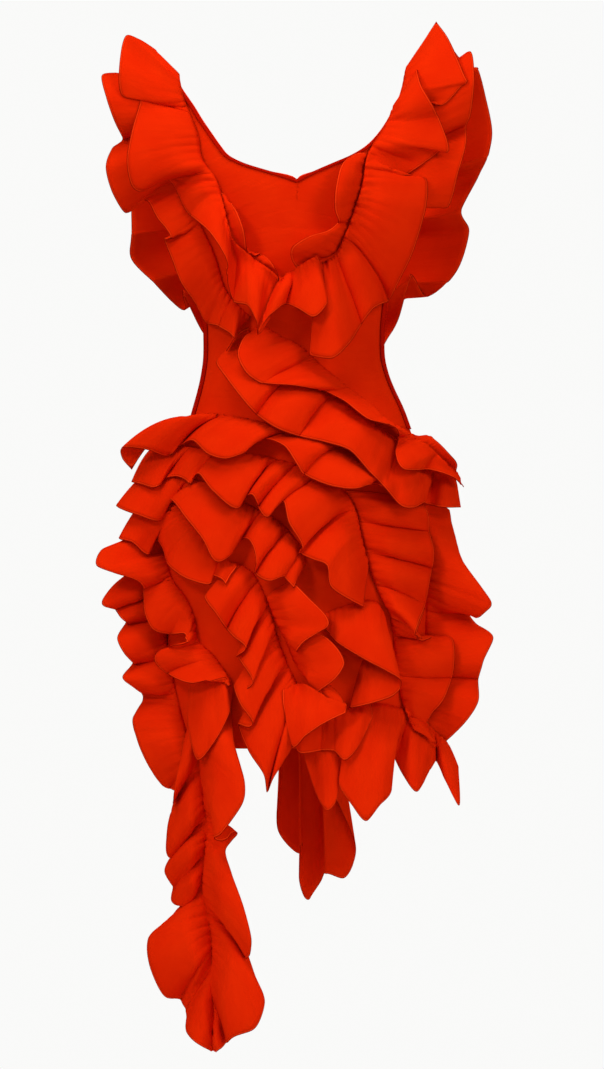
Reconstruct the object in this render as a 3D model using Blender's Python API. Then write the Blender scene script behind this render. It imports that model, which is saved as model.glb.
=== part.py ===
"""Tiered ruffle dress, worn and hollow, with nobody inside it.

A low-backed bodice with a sweetheart neck and bound edges, two shoulder straps and a short close
skirt. Ruffle strips are gathered onto them from the shoulders to the hem, and one runs on as a
tail. The front faces -Y and +Z is up. The origin is midway between the straps, at their height.
Every strip has a seam line and a table with a row for each crest, hollow or turn of its free edge.
Sizes in the tables are in millimetres.
"""

import math

import bmesh
import bpy
import numpy as np
from mathutils.bvhtree import BVHTree

MM = 0.001

# The cloth.
WALL = 1.6
BINDING_WALL = 1.0
BINDING_WIDTH = 5.0
SEAM_GAP = 0.65
SEAT_GAP = 0.4
SEAM_REST = WALL + 0.8
BACK_REST = SEAM_REST + 0.8
HIGH_REST = SEAM_REST + BINDING_WALL + 0.7

# How a ruffle hangs: its crests swell forwards and its hollows lie back, it rises where it stands out
# sideways, and it clears what it covers.
SWELL = 0.22
FULL_SWELL_LIFT = 26.0
NO_SWELL_LIFT = 14.0
RISE = 0.22
MOST_RISE = 0.2
PUFFED_RISE = 0.4
LAYER_GAP = 3.2
LEAST_FORWARD = 1.6
SEGMENTS_PER_FOLD = 2
SEAM_STEPS = 6
PUSH_ROUNDS = 4
SEAT_ROUNDS = 20
SEAT_REACH = 30.0
CROSSING_ROUNDS = 40
CROSSING_WALL = 2.0
NARROW_STRIP = 95.0

# The record of what lies in front: a grid over the dress, as its viewer sees it.
CELL = 4.0
GRID_LEFT = -300.0
GRID_BOTTOM = -1320.0
GRID_COLUMNS = 150
GRID_ROWS = 360
SPREAD_CELLS = 2
SAMPLES_PER_CELL = 7
NOTHING = -1000.0

# Sections of the general figure that the dress is cut for.
# height, middle, half_width, half_depth
BODY = [
    (90, 0, 150, 6),
    (30, 0, 176, 24),
    (0, 0, 184, 44),
    (-30, 0, 183, 66),
    (-70, 0, 176, 86),
    (-110, 0, 164, 101),
    (-156, 0, 147, 111),
    (-220, -1, 130, 109),
    (-290, -3, 120, 99),
    (-345, -4, 115.5, 93),
    (-390, -3, 118.5, 97),
    (-449, 2, 138, 107),
    (-510, 2, 157, 115),
    (-570, 0, 168, 120),
    (-700, 0, 167, 120),
    (-880, 0, 164, 119),
    (-1320, 0, 160, 116),
]

WAIST_SEAM = -467.0
SKIRT_HEM = -878.0
SIDE_ANGLE = math.radians(88.5)
SKIRT_SIDE_ANGLE = math.radians(89.8)
BODICE_COLUMNS = 8
SKIRT_COLUMNS = 24
SKIRT_ROWS = 5

# Front bodice, from the waist seam to the shoulders. The inner points follow the middle line up to
# the point of the neck, then the neck edge. The outer points follow the side, then the armhole, and
# those past the side line stop at it.
# inner_left, inner_right, inner_height, outer_left, outer_right, outer_height
BODICE = [
    (0, 0, -467, -200, 200, -467),
    (0, 0, -440, -200, 200, -440),
    (0, 0, -410, -200, 200, -410),
    (0, 0, -378, -200, 200, -378),
    (0, 0, -345, -200, 200, -345),
    (0, 0, -312, -200, 200, -312),
    (0, 0, -280, -200, 200, -282),
    (0, 0, -245, -200, 200, -255),
    (0, 0, -212, -200, 200, -232),
    (0, 0, -180, -200, 200, -214),
    (0, 0, -149, -131, 131, -200),
    (-36, 23, -138, -137, 137, -183),
    (-66, 45, -128, -144, 144, -163),
    (-87, 69, -117, -150, 150, -141),
    (-98, 89, -104, -155, 155, -119),
    (-109, 104, -88, -159, 159, -97),
    (-121, 116, -70, -163, 163, -75),
    (-133, 126, -50, -167, 167, -53),
    (-147, 136, -29, -173, 173, -31),
    (-156, 146, -12, -177, 177, -13),
]
NECK_ROW = 10

# Shoulder straps, from the bodice over the shoulder and down the open back to the skirt.
# inner_across, outer_across, height, side (-1 front, 0 top, 1 back)
STRAP = [
    (156, 177, -9.5, -1),
    (157, 177, -4, -0.55),
    (157, 177, -2, 0),
    (157, 177, -4, 0.55),
    (156, 178, -10, 1),
    (146, 174, -40, 1),
    (126, 158, -90, 1),
    (106, 140, -150, 1),
    (84, 120, -220, 1),
    (66, 102, -290, 1),
    (52, 88, -360, 1),
    (42, 80, -425, 1),
    (38, 78, -467.2, 1),
]

# Ruffle strips of the front, from the innermost to the outermost: each lies in front of those above
# it in this list. A seam is a line of (across, height). A fold's row holds how far along the seam its
# cloth starts, in hundredths, where its free edge is, and how far that edge stands off the figure.
# percent, across, height, lift
FRONT_RUFFLES = [
    (
        "skirt_ruffle_left_side",
        [(-188, -640), (-180, -690), (-170, -740), (-160, -790), (-148, -840), (-134, -885), (-126, -925)],
        [
            (0, -226, -660, 4), (5, -240, -673, 14), (10, -251, -689, 26), (15, -238, -699, 14),
            (20, -229, -711, 20), (25, -222, -718, 6), (31, -232, -736, 30), (37, -226, -753, 30),
            (43, -213, -771, 8), (49, -225, -787, 28), (54, -216, -797, 22), (59, -203, -808, 8),
            (64, -200, -820, 12), (70, -212, -843, 28), (77, -205, -872, 36), (84, -190, -905, 36),
            (92, -172, -929, 26), (100, -150, -936, 10),
        ],
    ),
    (
        "skirt_ruffle_right_side",
        [(160, -556), (165, -600), (167, -650), (167, -700), (166, -760), (164, -820), (158, -858)],
        [
            (0, 198, -572, 3), (10, 203, -600, 8), (20, 214, -638, 26), (30, 239, -673, 36),
            (37, 249, -690, 38), (43, 238, -707, 28), (49, 224, -706, 8), (55, 232, -720, 14),
            (61, 253, -735, 34), (68, 243, -762, 42), (76, 235, -790, 30), (84, 234, -820, 40),
            (91, 216, -848, 36), (100, 184, -880, 18),
        ],
    ),
    (
        "hem_ruffle_centre",
        [(10, -846), (36, -848), (62, -844)],
        [(0, 10, -888, 4), (20, 25, -934, 12), (40, 38, -955, 24), (60, 49, -945, 26), (80, 53, -921, 20),
         (100, 60, -893, 10)],
    ),
    (
        "hem_ruffle_right",
        [(62, -826), (95, -820), (130, -826), (160, -842), (186, -866)],
        [
            (0, 60, -893, 6), (8, 54, -922, 24), (18, 70, -948, 38), (27, 87, -968, 46),
            (37, 104, -950, 46), (46, 118, -934, 36), (54, 121, -905, 18), (60, 124, -890, 4),
            (66, 136, -912, 24), (74, 152, -933, 42), (82, 166, -915, 38), (88, 180, -897, 12),
            (93, 192, -922, 26), (97, 209, -953, 32), (100, 208, -905, 16),
        ],
    ),
    (
        "skirt_ruffle_right_lower",
        [(118, -690), (124, -735), (128, -785), (140, -830), (152, -856)],
        [
            (0, 165, -700, 20), (10, 154, -728, 36), (18, 158, -739, 34), (26, 178, -736, 18),
            (35, 199, -737, 34), (45, 203, -757, 46), (56, 200, -788, 38), (67, 189, -816, 48),
            (77, 176, -831, 36), (86, 169, -847, 20), (93, 173, -866, 30), (100, 183, -880, 20),
        ],
    ),
    (
        "skirt_ruffle_centre_hem",
        [(-6, -812), (25, -822), (60, -828), (92, -816)],
        [(0, -2, -870, 8), (16, 4, -882, 22), (36, 28, -880, 14), (56, 48, -880, 24), (76, 61, -891, 36),
         (90, 76, -876, 30), (100, 96, -838, 14)],
    ),
    (
        "tail_leaf",
        [(-132, -776), (-111, -772), (-90, -784)],
        [(0, -137, -804, 10), (20, -139, -846, 24), (42, -127, -892, 36), (62, -104, -867, 30),
         (82, -87, -834, 28), (100, -84, -804, 12)],
    ),
    (
        "skirt_ruffle_left_lower",
        [(-178, -596), (-170, -632), (-161, -662), (-142, -687), (-133, -712), (-129, -738), (-106, -760),
         (-91, -782), (-86, -798)],
        [
            (0, -228, -614, 8), (6, -252, -624, 34), (12, -259, -642, 46), (18, -240, -652, 48),
            (25, -212, -661, 42), (31, -199, -674, 26), (37, -197, -702, 36), (43, -181, -722, 46),
            (49, -160, -713, 32), (54, -147, -711, 18), (60, -134, -729, 24), (66, -143, -744, 38),
            (72, -176, -754, 48), (77, -183, -767, 50), (84, -165, -784, 48), (91, -135, -794, 40),
            (100, -92, -785, 22),
        ],
    ),
    (
        "skirt_ruffle_centre_left",
        [(-78, -640), (-55, -655), (-38, -690), (-28, -725), (-18, -755), (-5, -785), (4, -806)],
        [
            (0, -92, -668, 18), (6, -117, -683, 32), (13, -105, -703, 36), (20, -92, -722, 20),
            (26, -80, -735, 32), (32, -68, -745, 36), (38, -75, -758, 16), (44, -70, -768, 30),
            (50, -58, -787, 38), (56, -66, -798, 22), (62, -80, -797, 26), (69, -72, -820, 38),
            (75, -59, -840, 32), (81, -74, -848, 16), (87, -61, -880, 34), (92, -44, -906, 38),
            (95, -38, -932, 14), (97, -30, -914, 34), (100, -8, -878, 20),
        ],
    ),
    (
        "skirt_ruffle_right_leaf",
        [(34, -706), (60, -696), (88, -688), (106, -694), (110, -722), (100, -752), (86, -764)],
        [
            (0, 38, -724, 10), (15, 52, -742, 30), (32, 84, -762, 46), (48, 114, -778, 54),
            (60, 131, -789, 52), (70, 132, -800, 44), (80, 120, -811, 42), (90, 92, -820, 36),
            (100, 68, -826, 20),
        ],
    ),
    (
        "skirt_ruffle_centre_right",
        [(-38, -684), (-28, -712), (-14, -740), (-2, -768), (14, -790), (30, -810)],
        [
            (0, -6, -662, 14), (9, 14, -683, 32), (18, 36, -705, 46), (25, 39, -719, 46),
            (32, 14, -737, 34), (39, 2, -752, 12), (45, 28, -732, 22), (52, 48, -744, 40),
            (59, 60, -764, 48), (66, 52, -783, 44), (73, 33, -800, 26), (79, 44, -798, 24),
            (86, 58, -815, 38), (93, 58, -831, 44), (100, 40, -840, 30),
        ],
    ),
    (
        "skirt_ruffle_centre_lower",
        [(-18, -802), (8, -794), (40, -812), (62, -820)],
        [(0, -12, -845, 10), (20, -4, -874, 36), (45, 12, -859, 48), (70, 34, -844, 42), (100, 62, -831, 22)],
    ),
    (
        "hip_ruffle_right",
        [(62, -548), (76, -576), (82, -606), (91, -640), (106, -680), (122, -710)],
        [
            (0, 158, -562, 10), (13, 168, -574, 34), (25, 171, -598, 24), (37, 176, -622, 44),
            (48, 175, -645, 30), (60, 171, -664, 46), (72, 165, -695, 30), (84, 156, -716, 44),
            (92, 152, -732, 36), (100, 160, -738, 24),
        ],
    ),
    (
        "skirt_ruffle_left_middle",
        [(-194, -553), (-165, -561), (-140, -581), (-116, -611), (-95, -634), (-76, -645)],
        [
            (0, -219, -596, 4), (8, -230, -609, 18), (16, -214, -614, 30), (24, -199, -626, 26),
            (31, -196, -608, 18), (38, -184, -608, 24), (46, -174, -620, 38), (55, -166, -642, 44),
            (65, -146, -658, 40), (76, -118, -667, 28), (84, -112, -657, 10), (92, -98, -660, 26),
            (100, -92, -668, 22),
        ],
    ),
    (
        "skirt_ruffle_left_upper",
        [(-186, -522), (-150, -528), (-112, -540), (-84, -556), (-50, -572), (-20, -590), (4, -618),
         (10, -640)],
        [
            (0, -226, -560, 4), (5, -233, -568, 20), (11, -206, -579, 36), (18, -182, -585, 28),
            (24, -173, -563, 8), (30, -160, -561, 26), (37, -143, -582, 40), (45, -122, -608, 44),
            (52, -108, -633, 38), (58, -90, -632, 26), (64, -72, -612, 8), (69, -60, -612, 24),
            (75, -53, -630, 36), (81, -54, -652, 28), (87, -38, -663, 38), (93, -18, -658, 26),
            (100, -5, -672, 28),
        ],
    ),
    (
        "hip_ruffle_left",
        [(-184, -490), (-150, -489), (-110, -496), (-60, -502), (-10, -512), (30, -530), (60, -548),
         (75, -574), (82, -606), (90, -640)],
        [
            (0, -214, -536, 4), (5, -200, -540, 22), (10, -186, -543, 36), (15, -172, -532, 14),
            (20, -155, -530, 28), (25, -139, -537, 12), (30, -126, -527, 30), (35, -110, -546, 40),
            (41, -86, -567, 36), (46, -71, -562, 12), (50, -60, -554, 30), (54, -51, -566, 16),
            (58, -41, -581, 36), (62, -28, -570, 14), (66, -17, -563, 28), (71, -11, -588, 36),
            (76, 3, -612, 26), (80, 3, -627, 20), (84, 20, -636, 34), (89, 38, -644, 42),
            (94, 44, -672, 34), (100, 84, -697, 20),
        ],
    ),
    (
        "peplum_ruffle",
        [(-142, -458), (-116, -454), (-92, -453), (-58, -459), (-20, -468), (20, -478), (62, -494),
         (100, -522), (128, -550)],
        [
            (0, -214, -520, 2), (3, -226, -503, 8), (6, -226, -488, 22), (11, -196, -483, 38),
            (16, -170, -481, 28), (21, -152, -475, 22), (26, -134, -484, 42), (32, -116, -500, 50),
            (38, -96, -507, 46), (44, -74, -502, 38), (50, -54, -487, 22), (55, -38, -483, 26),
            (60, -18, -491, 40), (65, -5, -508, 46), (71, 8, -527, 36), (78, 38, -541, 46),
            (85, 68, -546, 48), (91, 92, -540, 30), (96, 110, -544, 36), (100, 126, -557, 26),
        ],
    ),
    (
        "waist_ruffle_lower",
        [(-62, -338), (-52, -372), (-26, -396), (12, -408), (52, -428), (92, -456), (130, -484),
         (166, -508), (203, -530)],
        [
            (0, -84, -366, 14), (6, -103, -382, 26), (13, -92, -402, 34), (21, -70, -431, 38),
            (29, -52, -451, 30), (37, -28, -468, 38), (45, 2, -479, 28), (53, 36, -487, 38),
            (61, 66, -497, 44), (68, 88, -520, 36), (75, 112, -545, 32), (82, 132, -567, 38),
            (87, 147, -570, 30), (91, 162, -564, 12), (96, 186, -569, 28), (100, 211, -569, 22),
        ],
    ),
    (
        "waist_ruffle_end",
        [(138, -474), (160, -495), (180, -511), (197, -527)],
        [(0, 152, -479, 5), (18, 168, -477, 16), (36, 182, -484, 24), (54, 195, -497, 24),
         (70, 204, -508, 16), (84, 208, -524, 12), (100, 217, -542, 14)],
    ),
    (
        "waist_ruffle_upper",
        [(-44, -334), (-18, -352), (6, -364), (30, -386), (62, -412), (88, -432), (120, -460), (150, -478),
         (176, -495), (202, -523)],
        [
            (0, -52, -341, 10), (6, -68, -353, 28), (12, -76, -374, 40), (19, -66, -396, 42),
            (27, -44, -411, 30), (36, -10, -414, 42), (45, 28, -419, 30), (53, 58, -433, 42),
            (62, 88, -456, 46), (70, 118, -464, 28), (76, 129, -478, 12), (81, 126, -502, 26),
            (86, 136, -521, 38), (92, 170, -521, 46), (97, 199, -530, 36), (100, 212, -540, 22),
        ],
    ),
    (
        "left_under_ruffle",
        [(-164, -14), (-160, -60), (-152, -115), (-141, -165), (-124, -205), (-106, -245), (-94, -285),
         (-76, -310), (-60, -324)],
        [
            (0, -236, -4, 3), (4, -253, -10, 18), (9, -247, -38, 32), (14, -238, -64, 26),
            (19, -227, -90, 4), (24, -240, -104, 12), (29, -247, -128, 24), (34, -240, -158, 20),
            (39, -222, -186, 6), (44, -197, -170, 8), (50, -182, -192, 26), (56, -167, -213, 38),
            (60, -171, -223, 26), (66, -161, -248, 38), (72, -150, -278, 42), (79, -133, -302, 32),
            (85, -120, -325, 28), (90, -100, -337, 24), (95, -81, -352, 32), (100, -90, -369, 24),
        ],
    ),
    (
        "right_under_ruffle",
        [(163, -15), (161, -60), (152, -105), (132, -150), (112, -190), (92, -225)],
        [
            (0, 212, 16, 3), (8, 226, 20, 22), (18, 229, -14, 38), (30, 226, -50, 28),
            (40, 220, -72, 8), (52, 219, -98, 30), (64, 208, -138, 38), (76, 196, -176, 24),
            (86, 174, -146, 6), (100, 165, -188, 10),
        ],
    ),
    (
        "left_strap_ruffle_inner",
        [(-97, -164), (-92, -195), (-84, -222), (-62, -244), (-36, -262), (-18, -280)],
        [(0, -90, -178, 8), (18, -78, -188, 24), (36, -68, -212, 30), (52, -62, -240, 14),
         (66, -42, -247, 12), (82, -27, -264, 24), (100, -17, -288, 14)],
    ),
    (
        "left_strap_ruffle",
        [(-152, -8), (-147, -38), (-129, -85), (-122, -120), (-104, -147), (-96, -175), (-85, -222),
         (-62, -246), (-40, -262), (-24, -276)],
        [
            (0, -185, 27, 2), (2, -206, 40, 3), (4, -223, 43, 6), (8, -229, 8, 28), (12, -228, -29, 26),
            (16, -207, -41, 4), (20, -203, -46, 26), (26, -212, -80, 40), (32, -219, -118, 48),
            (37, -215, -148, 42),
            (41, -203, -158, 30), (46, -170, -146, 6), (51, -156, -158, 22), (56, -140, -190, 42),
            (62, -112, -218, 50), (68, -92, -250, 46), (73, -89, -278, 36), (79, -81, -306, 32),
            (85, -62, -313, 44), (91, -52, -332, 50), (96, -49, -349, 38), (100, -36, -330, 26),
        ],
    ),
    (
        "right_strap_ruffle_inner",
        [(92, -114), (84, -132), (82, -156), (71, -192), (60, -221), (49, -242), (26, -252), (8, -257)],
        [(0, 70, -120, 8), (12, 56, -134, 24), (26, 49, -163, 34), (40, 48, -185, 30), (52, 52, -204, 22),
         (62, 40, -217, 36), (74, 14, -225, 42), (84, -6, -238, 38), (92, -7, -252, 26), (100, 2, -268, 16)],
    ),
    (
        "right_strap_ruffle",
        [(141, 0), (134, -32), (122, -60), (111, -82), (91, -116), (84, -156), (73, -192), (62, -221),
         (50, -246), (27, -258)],
        [
            (0, 181, 63, 2), (4, 196, 38, 20), (8, 214, -6, 38), (11, 216, -19, 32),
            (15, 184, -50, 4), (19, 157, -4, 12), (23, 161, -28, 36), (28, 180, -62, 50),
            (33, 194, -100, 54), (37, 186, -108, 38), (42, 140, -142, 8), (46, 122, -142, 12),
            (50, 150, -144, 38), (54, 166, -147, 52), (60, 167, -175, 58), (66, 160, -206, 52),
            (72, 148, -243, 46), (78, 130, -280, 34), (83, 119, -301, 22), (88, 100, -313, 30),
            (91, 84, -333, 20), (94, 66, -361, 42), (97, 45, -380, 50), (100, 16, -376, 34),
        ],
    ),
    (
        "centre_ruffle",
        [(-22, -281), (-6, -268), (10, -257), (26, -249)],
        [(0, -50, -350, 24), (20, -36, -328, 40), (38, -16, -311, 26), (54, 2, -317, 42), (70, 22, -328, 56),
         (86, 38, -311, 52), (100, 36, -294, 34)],
    ),
]
# Those that cross a binding, or span a sharp turn of the figure.
HIGH_RUFFLES = ("left_strap_ruffle", "right_strap_ruffle", "right_strap_ruffle_inner",
                "left_strap_ruffle_inner", "left_under_ruffle", "right_under_ruffle", "waist_ruffle_lower",
                "waist_ruffle_end", "peplum_ruffle", "hip_ruffle_right")

# Those whose ends puff up as they stand out sideways.
PUFFED_RUFFLES = ("peplum_ruffle", "waist_ruffle_end", "left_strap_ruffle")

# The tail: a strip gathered along its middle, with both halves free.
TAIL_SEAM = [(-118, -806), (-124, -850), (-126, -891), (-120, -936), (-116, -975), (-118, -1014),
             (-122, -1053), (-117, -1079), (-111, -1112), (-109, -1138), (-110, -1170), (-108, -1215),
             (-107, -1250)]
# percent, left_across, left_height, left_lift, right_across, right_height, right_lift
TAIL = [
    (0, -140, -850, 6, -84, -826, 8),
    (7, -148, -890, 20, -80, -870, 26),
    (14, -156, -925, 28, -67, -915, 38),
    (20, -159, -948, 12, -68, -942, 40),
    (25, -166, -978, 28, -88, -974, 34),
    (31, -168, -1006, 32, -96, -983, 18),
    (36, -161, -1017, 12, -76, -987, 4),
    (41, -170, -1036, 28, -91, -1008, 16),
    (46, -160, -1058, 12, -84, -1034, 30),
    (50, -162, -1076, 24, -70, -1070, 40),
    (54, -147, -1083, 6, -60, -1105, 42),
    (58, -168, -1103, 30, -59, -1126, 30),
    (62, -191, -1124, 44, -63, -1140, 6),
    (66, -190, -1155, 48, -54, -1165, 28),
    (70, -176, -1190, 36, -41, -1195, 42),
    (74, -160, -1200, 12, -50, -1226, 40),
    (79, -143, -1218, 8, -72, -1239, 24),
    (86, -140, -1244, 22, -88, -1252, 10),
    (100, -112, -1265, 10, -102, -1265, 8),
]

# Ruffle strips of the back, in the same columns.
BACK_RUFFLES = [
    (
        "back_trailing_ruffle",
        [(-22, -836), (14, -834), (50, -836)],
        [(0, -23, -930, 4), (12, -26, -993, 24), (24, -4, -1024, 34), (34, 4, -1016, 10), (42, 3, -1062, 26),
         (50, 12, -1088, 40), (60, 27, -1072, 36), (70, 38, -1053, 12), (80, 62, -1060, 32),
         (88, 75, -1040, 38), (94, 76, -1010, 28), (100, 50, -950, 6)],
    ),
]
BACK_STRAP_RUFFLES = [
    (
        "left_back_ruffle",
        [(-156, -20), (-154, -45), (-140, -95), (-120, -155), (-100, -225), (-82, -295), (-68, -362),
         (-60, -425)],
        [
            (0, -222, 42, 2), (7, -226, 4, 30), (14, -214, -36, 8), (22, -222, -82, 36), (30, -208, -120, 10),
            (38, -216, -164, 38), (45, -216, -212, 26), (52, -217, -242, 30), (58, -190, -272, 14),
            (64, -153, -308, 32), (70, -149, -290, 10), (78, -128, -330, 36), (85, -104, -372, 12),
            (93, -112, -424, 34), (100, -84, -448, 14),
        ],
    ),
    (
        "right_back_ruffle",
        [(156, -20), (154, -45), (140, -95), (120, -155), (100, -225), (82, -295), (68, -362), (60, -425)],
        [
            (0, 181, 62, 2), (5, 214, 16, 22), (11, 235, 4, 14), (18, 248, -36, 36), (25, 255, -74, 34),
            (32, 249, -110, 14), (39, 238, -134, 30), (45, 214, -182, 8), (51, 225, -206, 32),
            (57, 215, -246, 36), (63, 196, -275, 14), (69, 170, -292, 34), (75, 150, -268, 8),
            (82, 132, -322, 34), (88, 106, -372, 12), (94, 112, -424, 34), (100, 84, -448, 14),
        ],
    ),
]

# Tiers of the skirt's back, worked out by rule, lowest first.
# name, seam_height, edge_height, waves, crest_lift
BACK_TIERS = [
    ("back_tier_5", -792, -880, 9, 24),
    ("back_tier_4", -714, -806, 9, 28),
    ("back_tier_3", -636, -728, 9, 30),
    ("back_tier_2", -558, -650, 9, 29),
    ("back_tier_1", -476, -570, 9, 27),
]
HOLLOW_LIFT = 8.0
WAVE_DROP = 7.0
TIER_ANGLE = 88.0


def between(table, at):
    """The table's columns at a value of its first one, along smooth curves through its rows."""
    rows = sorted(table)
    keys = [row[0] for row in rows]
    after = min(max(int(np.searchsorted(keys, at)), 1), len(rows) - 1)
    part = (at - keys[after - 1]) / (keys[after] - keys[after - 1])
    part = min(max(part, 0.0), 1.0)
    four = [rows[min(max(after + k, 0), len(rows) - 1)][1:] for k in (-2, -1, 0, 1)]
    return smooth(*[np.array(row, float) for row in four], part)


def smooth(before, start, end, after, part):
    """A Catmull-Rom curve from start to end."""
    return 0.5 * (
        2 * start
        + (end - before) * part
        + (2 * before - 5 * start + 4 * end - after) * part**2
        + (3 * start - before - 3 * end + after) * part**3
    )


def curve(points, steps):
    """Points along a smooth curve through the given ones, with that many steps from each to the next."""
    points = [np.array(point, float) for point in points]
    found = []
    for index in range(len(points) - 1):
        four = [points[min(max(index + k, 0), len(points) - 1)] for k in (-1, 0, 1, 2)]
        found += [smooth(*four, step / steps) for step in range(steps)]
    return np.array(found + [points[-1]])


def depth_at(across, height, clear):
    """How far the figure, grown by clear, stands in front of its middle plane."""
    middle, half_width, half_depth = between(BODY, height)
    ratio = (across - middle) / (half_width + clear)
    return (half_depth + clear) * math.sqrt(max(0.0, 1.0 - ratio * ratio))


def at_angle(angle, height, clear):
    """A point of the figure, grown by clear: angle 0 is the front and a quarter turn its side."""
    middle, half_width, half_depth = between(BODY, height)
    across = middle + (half_width + clear) * math.sin(angle)
    return np.array([across, -(half_depth + clear) * math.cos(angle), height])


def on_front(across, height, clear):
    """The figure's front at a place that the viewer sees, stopped at the side line."""
    middle, half_width, _ = between(BODY, height)
    angle = math.asin(min(max((across - middle) / half_width, -1.0), 1.0))
    return at_angle(min(max(angle, -SIDE_ANGLE), SIDE_ANGLE), height, clear)


def cloth_material(name, colour, roughness):
    material = bpy.data.materials.new(name)
    material.use_nodes = True
    shader = material.node_tree.nodes["Principled BSDF"]
    shader.inputs["Base Color"].default_value = (*colour, 1.0)
    shader.inputs["Roughness"].default_value = roughness
    shader.inputs["Metallic"].default_value = 0.0
    return material


def triangles(grid):
    """Triangles over a grid of points, along the shorter diagonal of each cell."""
    rows, columns = grid.shape[:2]
    points = grid.reshape(-1, 3)
    faces = []
    for row in range(rows - 1):
        for column in range(columns - 1):
            a = row * columns + column
            b, c, d = a + 1, a + columns + 1, a + columns
            if np.linalg.norm(points[a] - points[c]) < np.linalg.norm(points[b] - points[d]):
                faces += [(a, b, c), (a, c, d)]
            else:
                faces += [(a, b, d), (b, c, d)]
    return faces


def add_cloth(name, grids, material, wall, made):
    """One piece of cloth from grids of points in millimetres, whose shared points are joined."""
    shape = bmesh.new()
    for grid in grids:
        made.append((surface(grid), grid.reshape(-1, 3), wall / 2))
        vertices = [shape.verts.new(point * MM) for point in grid.reshape(-1, 3)]
        for face in triangles(grid):
            shape.faces.new([vertices[corner] for corner in face])
    bmesh.ops.remove_doubles(shape, verts=shape.verts, dist=0.00005)
    bmesh.ops.recalc_face_normals(shape, faces=shape.faces)
    mesh = bpy.data.meshes.new(name)
    shape.to_mesh(mesh)
    shape.free()
    mesh.shade_smooth()
    mesh.materials.append(material)
    piece = bpy.data.objects.new(name, mesh)
    bpy.context.collection.objects.link(piece)
    thickness = piece.modifiers.new("wall", "SOLIDIFY")
    thickness.thickness = wall * MM
    thickness.offset = 0.0


def surface(grid):
    """The middle of a grid's wall, to measure distances from."""
    return BVHTree.FromPolygons([tuple(point) for point in grid.reshape(-1, 3)], triangles(grid))


class Layers:
    """How far forward the cloth laid so far reaches, cell by cell, as its viewer sees it."""

    def __init__(self, made):
        self.reach = np.full((GRID_COLUMNS, GRID_ROWS), NOTHING)
        self.made = made

    def cells(self, points):
        columns = np.clip(((points[..., 0] - GRID_LEFT) / CELL).astype(int), 0, GRID_COLUMNS - 1)
        rows = np.clip(((points[..., 2] - GRID_BOTTOM) / CELL).astype(int), 0, GRID_ROWS - 1)
        return columns, rows

    def spread(self):
        wide = self.reach.copy()
        for _ in range(SPREAD_CELLS):
            for axis in (0, 1):
                for shift in (-1, 1):
                    wide = np.maximum(wide, np.roll(wide, shift, axis))
        return wide

    def clear(self, grid, facing):
        """Moves the grid forward until it clears the cloth below it, evenly."""
        wide = self.spread()
        forward = grid[..., 1] * facing
        below = wide[self.cells(grid)]
        need = np.maximum(below + LAYER_GAP - forward, 0.0)
        push = need.copy()
        for _ in range(PUSH_ROUNDS):
            padded = np.pad(push, 1, mode="edge")
            mean = (padded[:-2, 1:-1] + padded[2:, 1:-1] + padded[1:-1, :-2] + padded[1:-1, 2:]) / 4
            push = np.maximum(need, mean)
        grid[..., 1] += push * facing

    def gap(self, grid):
        """The least gap between a grid's wall and the pieces made so far."""
        own = surface(grid)
        least = SEAT_REACH
        for tree, points, half_wall in self.made:
            pairs = [(tree, point) for point in grid.reshape(-1, 3)] + [(own, point) for point in points]
            for other, point in pairs:
                distance = other.find_nearest(point, least + half_wall + WALL / 2)[3]
                if distance is not None:
                    least = min(least, distance - half_wall - WALL / 2)
        return least

    def seat(self, grid, facing):
        """Moves the grid back until it all but touches a piece made before it."""
        for _ in range(SEAT_ROUNDS):
            grid[..., 1] -= facing * (self.gap(grid) - SEAT_GAP)

    def add(self, grid, facing):
        for part in np.linspace(0.0, 1.0, SAMPLES_PER_CELL):
            along = grid[:-1] * (1 - part) + grid[1:] * part
            for share in np.linspace(0.0, 1.0, SAMPLES_PER_CELL):
                points = along[:, :-1] * (1 - share) + along[:, 1:] * share
                np.maximum.at(self.reach, self.cells(points), points[..., 1] * facing)


def free_edge(folds, facing):
    """Points of a ruffle's free edge, from its table of folds."""
    points = curve([fold[1:] for fold in folds], SEGMENTS_PER_FOLD)
    for point in points:
        point[2] = max(depth_at(point[0], point[1], 0.0) + point[2], LEAST_FORWARD)
    return np.stack([points[:, 0], facing * points[:, 2], points[:, 1]], axis=1)


def seam_points(seam, folds, rest, facing):
    """Where each of those points starts from, on a seam that rests on the figure."""
    line = curve(seam, SEAM_STEPS)
    lengths = np.concatenate([[0.0], np.cumsum(np.linalg.norm(np.diff(line, axis=0), axis=1))])
    shares = curve([(fold[0] / 100,) for fold in folds], SEGMENTS_PER_FOLD)[:, 0] * lengths[-1]
    across = np.interp(shares, lengths, line[:, 0])
    height = np.interp(shares, lengths, line[:, 1])
    forward = [max(depth_at(x, z, rest), LEAST_FORWARD) for x, z in zip(across, height)]
    return np.stack([across, facing * np.array(forward), height], axis=1)


def stand_off(grid, rest, facing):
    """Brings each point that is too near the figure out to its rest."""
    for point in grid.reshape(-1, 3):
        least = max(depth_at(point[0], point[2], rest), LEAST_FORWARD)
        point[1] = facing * max(facing * point[1], least)


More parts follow.
